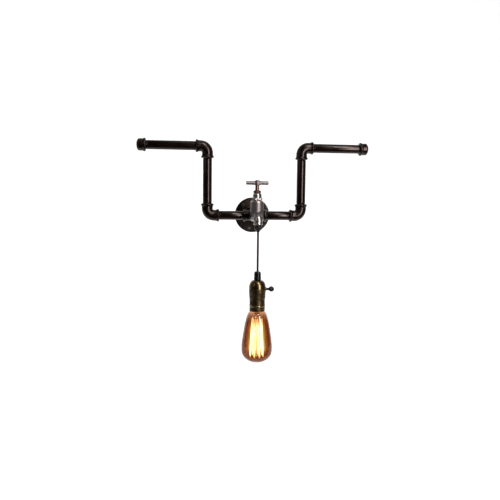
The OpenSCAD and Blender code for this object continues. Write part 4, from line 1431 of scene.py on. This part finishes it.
class PIPELIGHT_OT_lampholder(bpy.types.Operator):
    """Dresses the lampholder, its grip, its inner pieces and its switch."""

    bl_idname = "pipelight.lampholder"
    bl_label = "Lampholder"

    def execute(self, context):
        metal = bronze(context.scene.pipe_light.colours.bronze)
        plastic = Finish.made["black_plastic"]
        yellow = Finish.made["brass"]
        fibre = Finish.made["fibre"]
        self.grip(plastic)
        self.cap(metal)
        self.shell(metal)
        self.key(plastic)
        refinish("holder_sleeve", fibre)
        porcelain = mineral("porcelain", rgb(92, 90, 84), rgb(86, 83, 76), 0.15, 20 * MICRON)
        refinish("socket_core", porcelain)
        for node in ("screw_shell", "centre_contact", "terminal_screws", "switch_shaft"):
            refinish(node, yellow)
        refinish("switch_cam", plastic)
        self.bush(metal)
        return {"FINISHED"}

    def bush(self, metal):
        """The bush of the switch's shaft, with a collar outside the shell."""
        low, high = corners("switch_bush")
        start = (low[0], CORD_Y, middle("switch_bush")[2])
        reach = high[0] - low[0]
        radius = (high[2] - low[2]) / 2
        bore = 1.9 * MM
        collar_r = radius * 1.5
        collar_from = reach - 1.4 * MM
        collar_to = reach - 0.3 * MM
        outline = rounded([
            (0, bore), (0, radius), (collar_from, radius), (collar_from, collar_r),
            (collar_to, collar_r), (reach, radius), (reach, bore), (0, bore)], 0.2 * MM)
        way = straight_way(start, X_AXIS)
        bush = turned("switch_bush_skin", outline, way, metal, segments=48)
        dress(bush, "pendant", "switch_bush")

    def grip(self, plastic):
        """The tapered black grip on top of the lampholder, with its clamping collar."""
        low, high = corners("holder_cord_grip")
        radius = (high[0] - low[0]) / 2
        length = high[2] - corners("holder_cap")[1][2]
        tail = high[2] - low[2]
        inside = 4 * MM
        outline = rounded([
            (inside, FLEX_HOLE_R), (0, FLEX_HOLE_R), (0, radius * 0.72),
            (length * 0.16, radius * 0.95), (length * 0.52, radius * 0.98),
            (length * 0.56, radius * 0.9), (length * 0.60, radius * 0.98),
            (length * 0.9, radius), (length, radius * 0.94), (length, TAIL_R),
            (tail, TAIL_R), (tail, FLEX_HOLE_R), (inside, FLEX_HOLE_R)], 0.7 * MM)
        way = flex_line(high[2], -Z_AXIS)
        grip = turned("holder_grip_skin", outline, way, plastic, segments=64)
        dress(grip, "pendant", "holder_cord_grip")

    def cap(self, metal):
        """The domed cap of thin sheet."""
        low, high = corners("holder_cap")
        radius = (high[0] - low[0]) / 2
        height = high[2] - low[2]
        neck = 7.3 * MM
        arc = np.radians(np.linspace(0, 84, 16))

        def dome(rise, spread):
            return [(rise * math.sin(a), neck + spread * math.cos(a)) for a in arc]

        skin = dome(height, radius - neck)
        inner = dome(height - SHEET, radius - neck - SHEET)
        rim = [(0.0, radius - SHEET), (0.0, radius), (height * 0.06, radius)]
        hole = [(height, neck * 0.9), (height, TAIL_R), (height - SHEET, TAIL_R)]
        outline = rounded(rim + skin[2:] + hole + inner[::-1], 0.4 * MM, steps=4)
        cap = turned("holder_cap_skin", outline, flex_line(low[2]), metal, segments=96)
        dress(cap, "pendant", "holder_cap")
        self.scallops(metal, low[2], radius)

    def scallops(self, metal, level, radius):
        """The thin scalloped edge with which the cap laps over the shell."""
        waves = 9
        depth = 1.7 * MM
        lap = 1.6 * MM
        lip = 0.35 * MM

        def hang(angles, station):
            scallop = np.abs(np.cos(waves * angles / 2)) ** 0.7
            return -depth * scallop * (station < depth / 2)

        outline = [
            (lap, radius - lip), (lap - 0.2 * MM, radius + lip * 0.6), (0.2 * MM, radius + lip),
            (0.0, radius + lip * 0.4), (0.0, radius - lip), (lap, radius - lip)]
        way = flex_line(level)
        rim = turned("holder_cap_rim", outline, way, metal, segments=144, lift=hang)
        dress(rim, "pendant")

    def shell(self, metal):
        """The shell with its seam, stamped beads and rolled mouth."""
        low, high = corners("holder_shell")
        top = high[2] - low[2]
        height = corners("holder_cap")[0][2] - low[2]
        radius = extent("holder_cap")[0] / 2
        foot = 15.7 * MM
        waist = foot + (radius - foot) * 0.55
        collar = radius - 1.2 * MM
        lip = foot - 2.0 * SHEET

        def ridge(share, reach, lift, base):
            centre = height * share
            return [(centre - reach, base), (centre - reach * 0.4, base + lift),
                    (centre + reach * 0.4, base + lift), (centre + reach, base)]

        skin = [(0.0, lip), (0.0, foot - 0.3 * MM), (0.9 * MM, foot + 0.4 * MM),
                (2.2 * MM, foot)]
        skin += ridge(0.115, 0.9 * MM, 0.35 * MM, foot)
        skin += ridge(BEAD_SHARE, 1.7 * MM, 0.9 * MM, foot)
        skin += [(height * 0.48, foot)]
        skin += ridge(0.52, 0.6 * MM, 0.2 * MM, foot + 0.05 * MM)
        skin += [(height * 0.57, waist)]
        skin += ridge(0.62, 0.7 * MM, 0.25 * MM, waist)
        skin += ridge(0.71, 0.7 * MM, 0.25 * MM, waist + 0.1 * MM)
        skin += [(height * 0.78, radius - 0.2 * MM)]
        skin += ridge(0.83, 0.8 * MM, -0.3 * MM, radius - 0.15 * MM)
        skin += [(height * 0.93, radius - 0.1 * MM), (height * 0.955, radius - 0.5 * MM),
                 (height - 0.2 * MM, radius - 0.5 * MM), (height - 0.2 * MM, collar),
                 (top, collar)]
        inner = [(top, collar - SHEET), (height * 0.93, collar - SHEET),
                 (height * 0.5, foot - SHEET), (2.0 * MM, foot - SHEET), (0.6 * MM, lip),
                 (0.0, lip)]
        outline = rounded(skin + inner, 0.6 * MM, steps=4)
        shell = turned("holder_shell_skin", outline, flex_line(low[2]), metal, segments=96)
        dress(shell, "pendant", "holder_shell")

    def key(self, plastic):
        """The switch key: a rounded paddle on a short neck."""
        low, high = corners("switch_key")
        level = middle("switch_key")[2]
        radius = (high[2] - low[2]) / 2
        thick = high[1] - low[1]
        neck_r = 2.7 * MM
        neck_edge = 0.5 * MM
        fillet = 1.5 * MM
        shaft_r = 1.85 * MM
        step = 0.00045
        root = np.array([low[0], CORD_Y, level])
        centre = np.array([high[0] - radius, CORD_Y, level])

        def field(p):
            paddle = rod(p, centre + Y_AXIS * thick / 2, -Y_AXIS, radius, thick, thick * 0.3)
            neck = rod(p, root, X_AXIS, neck_r, centre[0] - low[0], neck_edge)
            hole = rod(p, root - X_AXIS * OVERRUN, X_AXIS, shaft_r,
                       centre[0] - radius - low[0] + OVERRUN, 0.0)
            return np.maximum(weld(paddle, neck, fillet), -hole)

        key = cast("switch_key_skin", field, low, high, step, plastic)
        dress(key, "switch", "switch_key")


class PIPELIGHT_OT_lamp(bpy.types.Operator):
    """Dresses the lamp: its cap, glass, stem, wires and glowing filament."""

    bl_idname = "pipelight.lamp"
    bl_label = "Lamp"

    def execute(self, context):
        settings = context.scene.pipe_light.lamp
        colours = context.scene.pipe_light.colours
        self.cap(settings, brass("cap_brass", colours.cap, rgb(66, 56, 36)))
        self.glass(settings, amber_glass("amber_glass", colours.glass, settings.painted_glass_glow))
        refinish("lamp_tip_contact", wire_metal("solder", rgb(70, 70, 68), 0.4))
        refinish("lamp_insulator", moulded("black_glass", rgb(10, 8, 12), 0.12))
        refinish("lamp_stem", clear_glass("clear_glass", rgb(96, 92, 84), 0.05))
        refinish("lead_wires", wire_metal("lead_copper", rgb(72, 48, 36), 0.3))
        refinish("support_wires", wire_metal("support_wire", rgb(60, 58, 55), 0.3))
        glow = glowing("filament_wire", colours.filament, settings.filament_glow)
        refinish("filament", glow)
        return {"FINISHED"}

    def cap(self, settings, yellow):
        """The rolled brass cap with its round thread."""
        low, high = corners("lamp_cap")
        radius = (high[0] - low[0]) / 2
        height = high[2] - low[2]
        wall = 0.4 * MM
        shoulder = radius * 0.93
        narrow = radius * 0.8
        ring_step = 0.0004
        outline = rounded([
            (0.0, radius - wall), (0.0, radius), (height * 0.86, radius),
            (height * 0.93, shoulder), (height, narrow), (height, narrow - wall),
            (height * 0.92, shoulder - wall), (height * 0.86, radius - wall),
            (0.0, radius - wall)], 0.6 * MM)
        thread = thread_swell(settings.thread_pitch, settings.thread_depth,
                              height * 0.12, height * 0.88)
        cap = turned("lamp_cap_skin", divided(outline, ring_step), flex_line(low[2]), yellow,
                     segments=72, swell=thread)
        dress(cap, "lamp", "lamp_cap")

    def glass(self, settings, tint):
        """The blown glass, whose outline follows the CAD's, with its sealed tip."""
        foot = corners("lamp_glass")[0][2]
        outer = smooth_line(self.glass_outline(foot), steps=3)
        inner = []
        for before, point, after in zip(outer, outer[1:], outer[2:]):
            run = (after - before) / np.linalg.norm(after - before)
            inner.append(point + np.array((run[1], -run[0])) * settings.glass_wall)
        inner = [p for p in inner if p[1] > 0.0]
        floor_point = np.array((inner[0][0], 0.0))
        rim = outer[-1] - np.array((0.0, settings.glass_wall))
        shape = outer + [rim] + inner[::-1] + [floor_point]
        way = flex_line(foot)
        glass = turned("lamp_glass_skin", shape, way, tint, segments=96, sharp=80)
        dress(glass, "lamp", "lamp_glass")

    def glass_outline(self, bottom):
        """Height over the tip and radius at each level of the CAD glass's outer surface."""
        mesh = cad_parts["lamp_glass"].data
        thinnest = 0.0004
        radii = {}
        for vertex in mesh.vertices:
            out = Vector((vertex.co.x, vertex.co.y - CORD_Y, 0.0))
            outward = vertex.normal.dot(out.normalized()) if out.length > 0 else 1.0
            if outward > 0.05 and vertex.normal.z < 0.9:
                level = round(vertex.co.z - bottom, 5)
                radii[level] = max(radii.get(level, 0.0), out.length)
        line = [np.array(p) for p in sorted(radii.items()) if p[1] > thinnest]
        return [np.array((0.0, 0.0))] + line


class PIPELIGHT_OT_stage(bpy.types.Operator):
    """Sets up the floor, the backdrop and the soft studio light."""

    bl_idname = "pipelight.stage"
    bl_label = "Stage"

    def execute(self, context):
        settings = context.scene.pipe_light.stage
        self.world(context.scene, settings.room_light)
        self.surfaces()
        target = (0.0, -0.06, -0.03)
        for name, azimuth, elevation, distance, width, height, power, colour in SOFTBOXES:
            place = around(target, math.radians(azimuth), math.radians(elevation), distance)
            stage_light(name, place, target, width, height, power, colour)
        context.scene.view_settings.view_transform = "Standard"
        return {"FINISHED"}

    def world(self, scene, room_light):
        """A plain grey room, darker on the side from which the picture is taken."""
        near_side = -0.4
        far_side = 0.6
        far_light = room_light * 10
        world = bpy.data.worlds.new("room")
        world.use_nodes = True
        tree = world.node_tree
        direction = add(tree, "ShaderNodeTexCoord").outputs["Generated"]
        away = add(tree, "ShaderNodeSeparateXYZ", {"Vector": direction}).outputs["Y"]
        room = tree.nodes["Background"]
        room.inputs["Color"].default_value = (1.0, 1.0, 1.0, 1.0)
        strength = mapped(tree, away, near_side, far_side, room_light, far_light)
        feed(tree, room.inputs["Strength"], strength)
        scene.world = world

    def surfaces(self):
        """A pale floor far below the light, which runs up into a backdrop behind it."""
        floor_z = -1.0
        front_y = -0.4
        back_y = 2.4
        top_z = 4.0
        width = 8.0
        bend = 0.8
        line = [(front_y, floor_z), (back_y - bend, floor_z)]
        line += [(back_y - bend + bend * math.sin(a), floor_z + bend - bend * math.cos(a))
                 for a in np.radians(np.linspace(8, 90, 12))]
        line.append((back_y, top_z))
        vertices = [(x, y, z) for y, z in line for x in (-width / 2, width / 2)]
        faces = [(2 * i, 2 * i + 1, 2 * i + 3, 2 * i + 2) for i in range(len(line) - 1)]
        paper = Finish("paper", (0.92, 0.92, 0.92, 1.0), 0.9)
        lift = 0.8
        seen = seen_share(paper.tree)
        paper.set("Emission Color", (1.0, 1.0, 1.0, 1.0))
        paper.set("Emission Strength", combined(paper.tree, seen, lift))
        new_piece("backdrop", vertices, faces, paper.material)


class PIPELIGHT_PT_panel(bpy.types.Panel):
    """Lists the steps that build the light."""

    bl_label = "Pipe light"
    bl_idname = "PIPELIGHT_PT_panel"
    bl_space_type = "VIEW_3D"
    bl_region_type = "UI"
    bl_category = "Pipe light"

    def draw(self, context):
        for step in STEPS:
            self.layout.operator(step.bl_idname)


# Registration and the run


STEPS = (
    PIPELIGHT_OT_camera, PIPELIGHT_OT_flex, PIPELIGHT_OT_pipework, PIPELIGHT_OT_tap,
    PIPELIGHT_OT_lampholder, PIPELIGHT_OT_lamp, PIPELIGHT_OT_stage)
CLASSES = (
    CastingSettings, TapSettings, LampSettings, ColourSettings, StageSettings,
    PipeLightSettings, *STEPS, PIPELIGHT_PT_panel)


def register():
    for item in CLASSES:
        bpy.utils.register_class(item)
    bpy.types.Scene.pipe_light = bpy.props.PointerProperty(type=PipeLightSettings)


def unregister():
    del bpy.types.Scene.pipe_light
    for item in reversed(CLASSES):
        bpy.utils.unregister_class(item)


def main():
    """Builds the light step by step."""
    register()
    for step in STEPS:
        group, name = step.bl_idname.split(".")
        getattr(getattr(bpy.ops, group), name)()


if __name__ == "__main__":
    main()
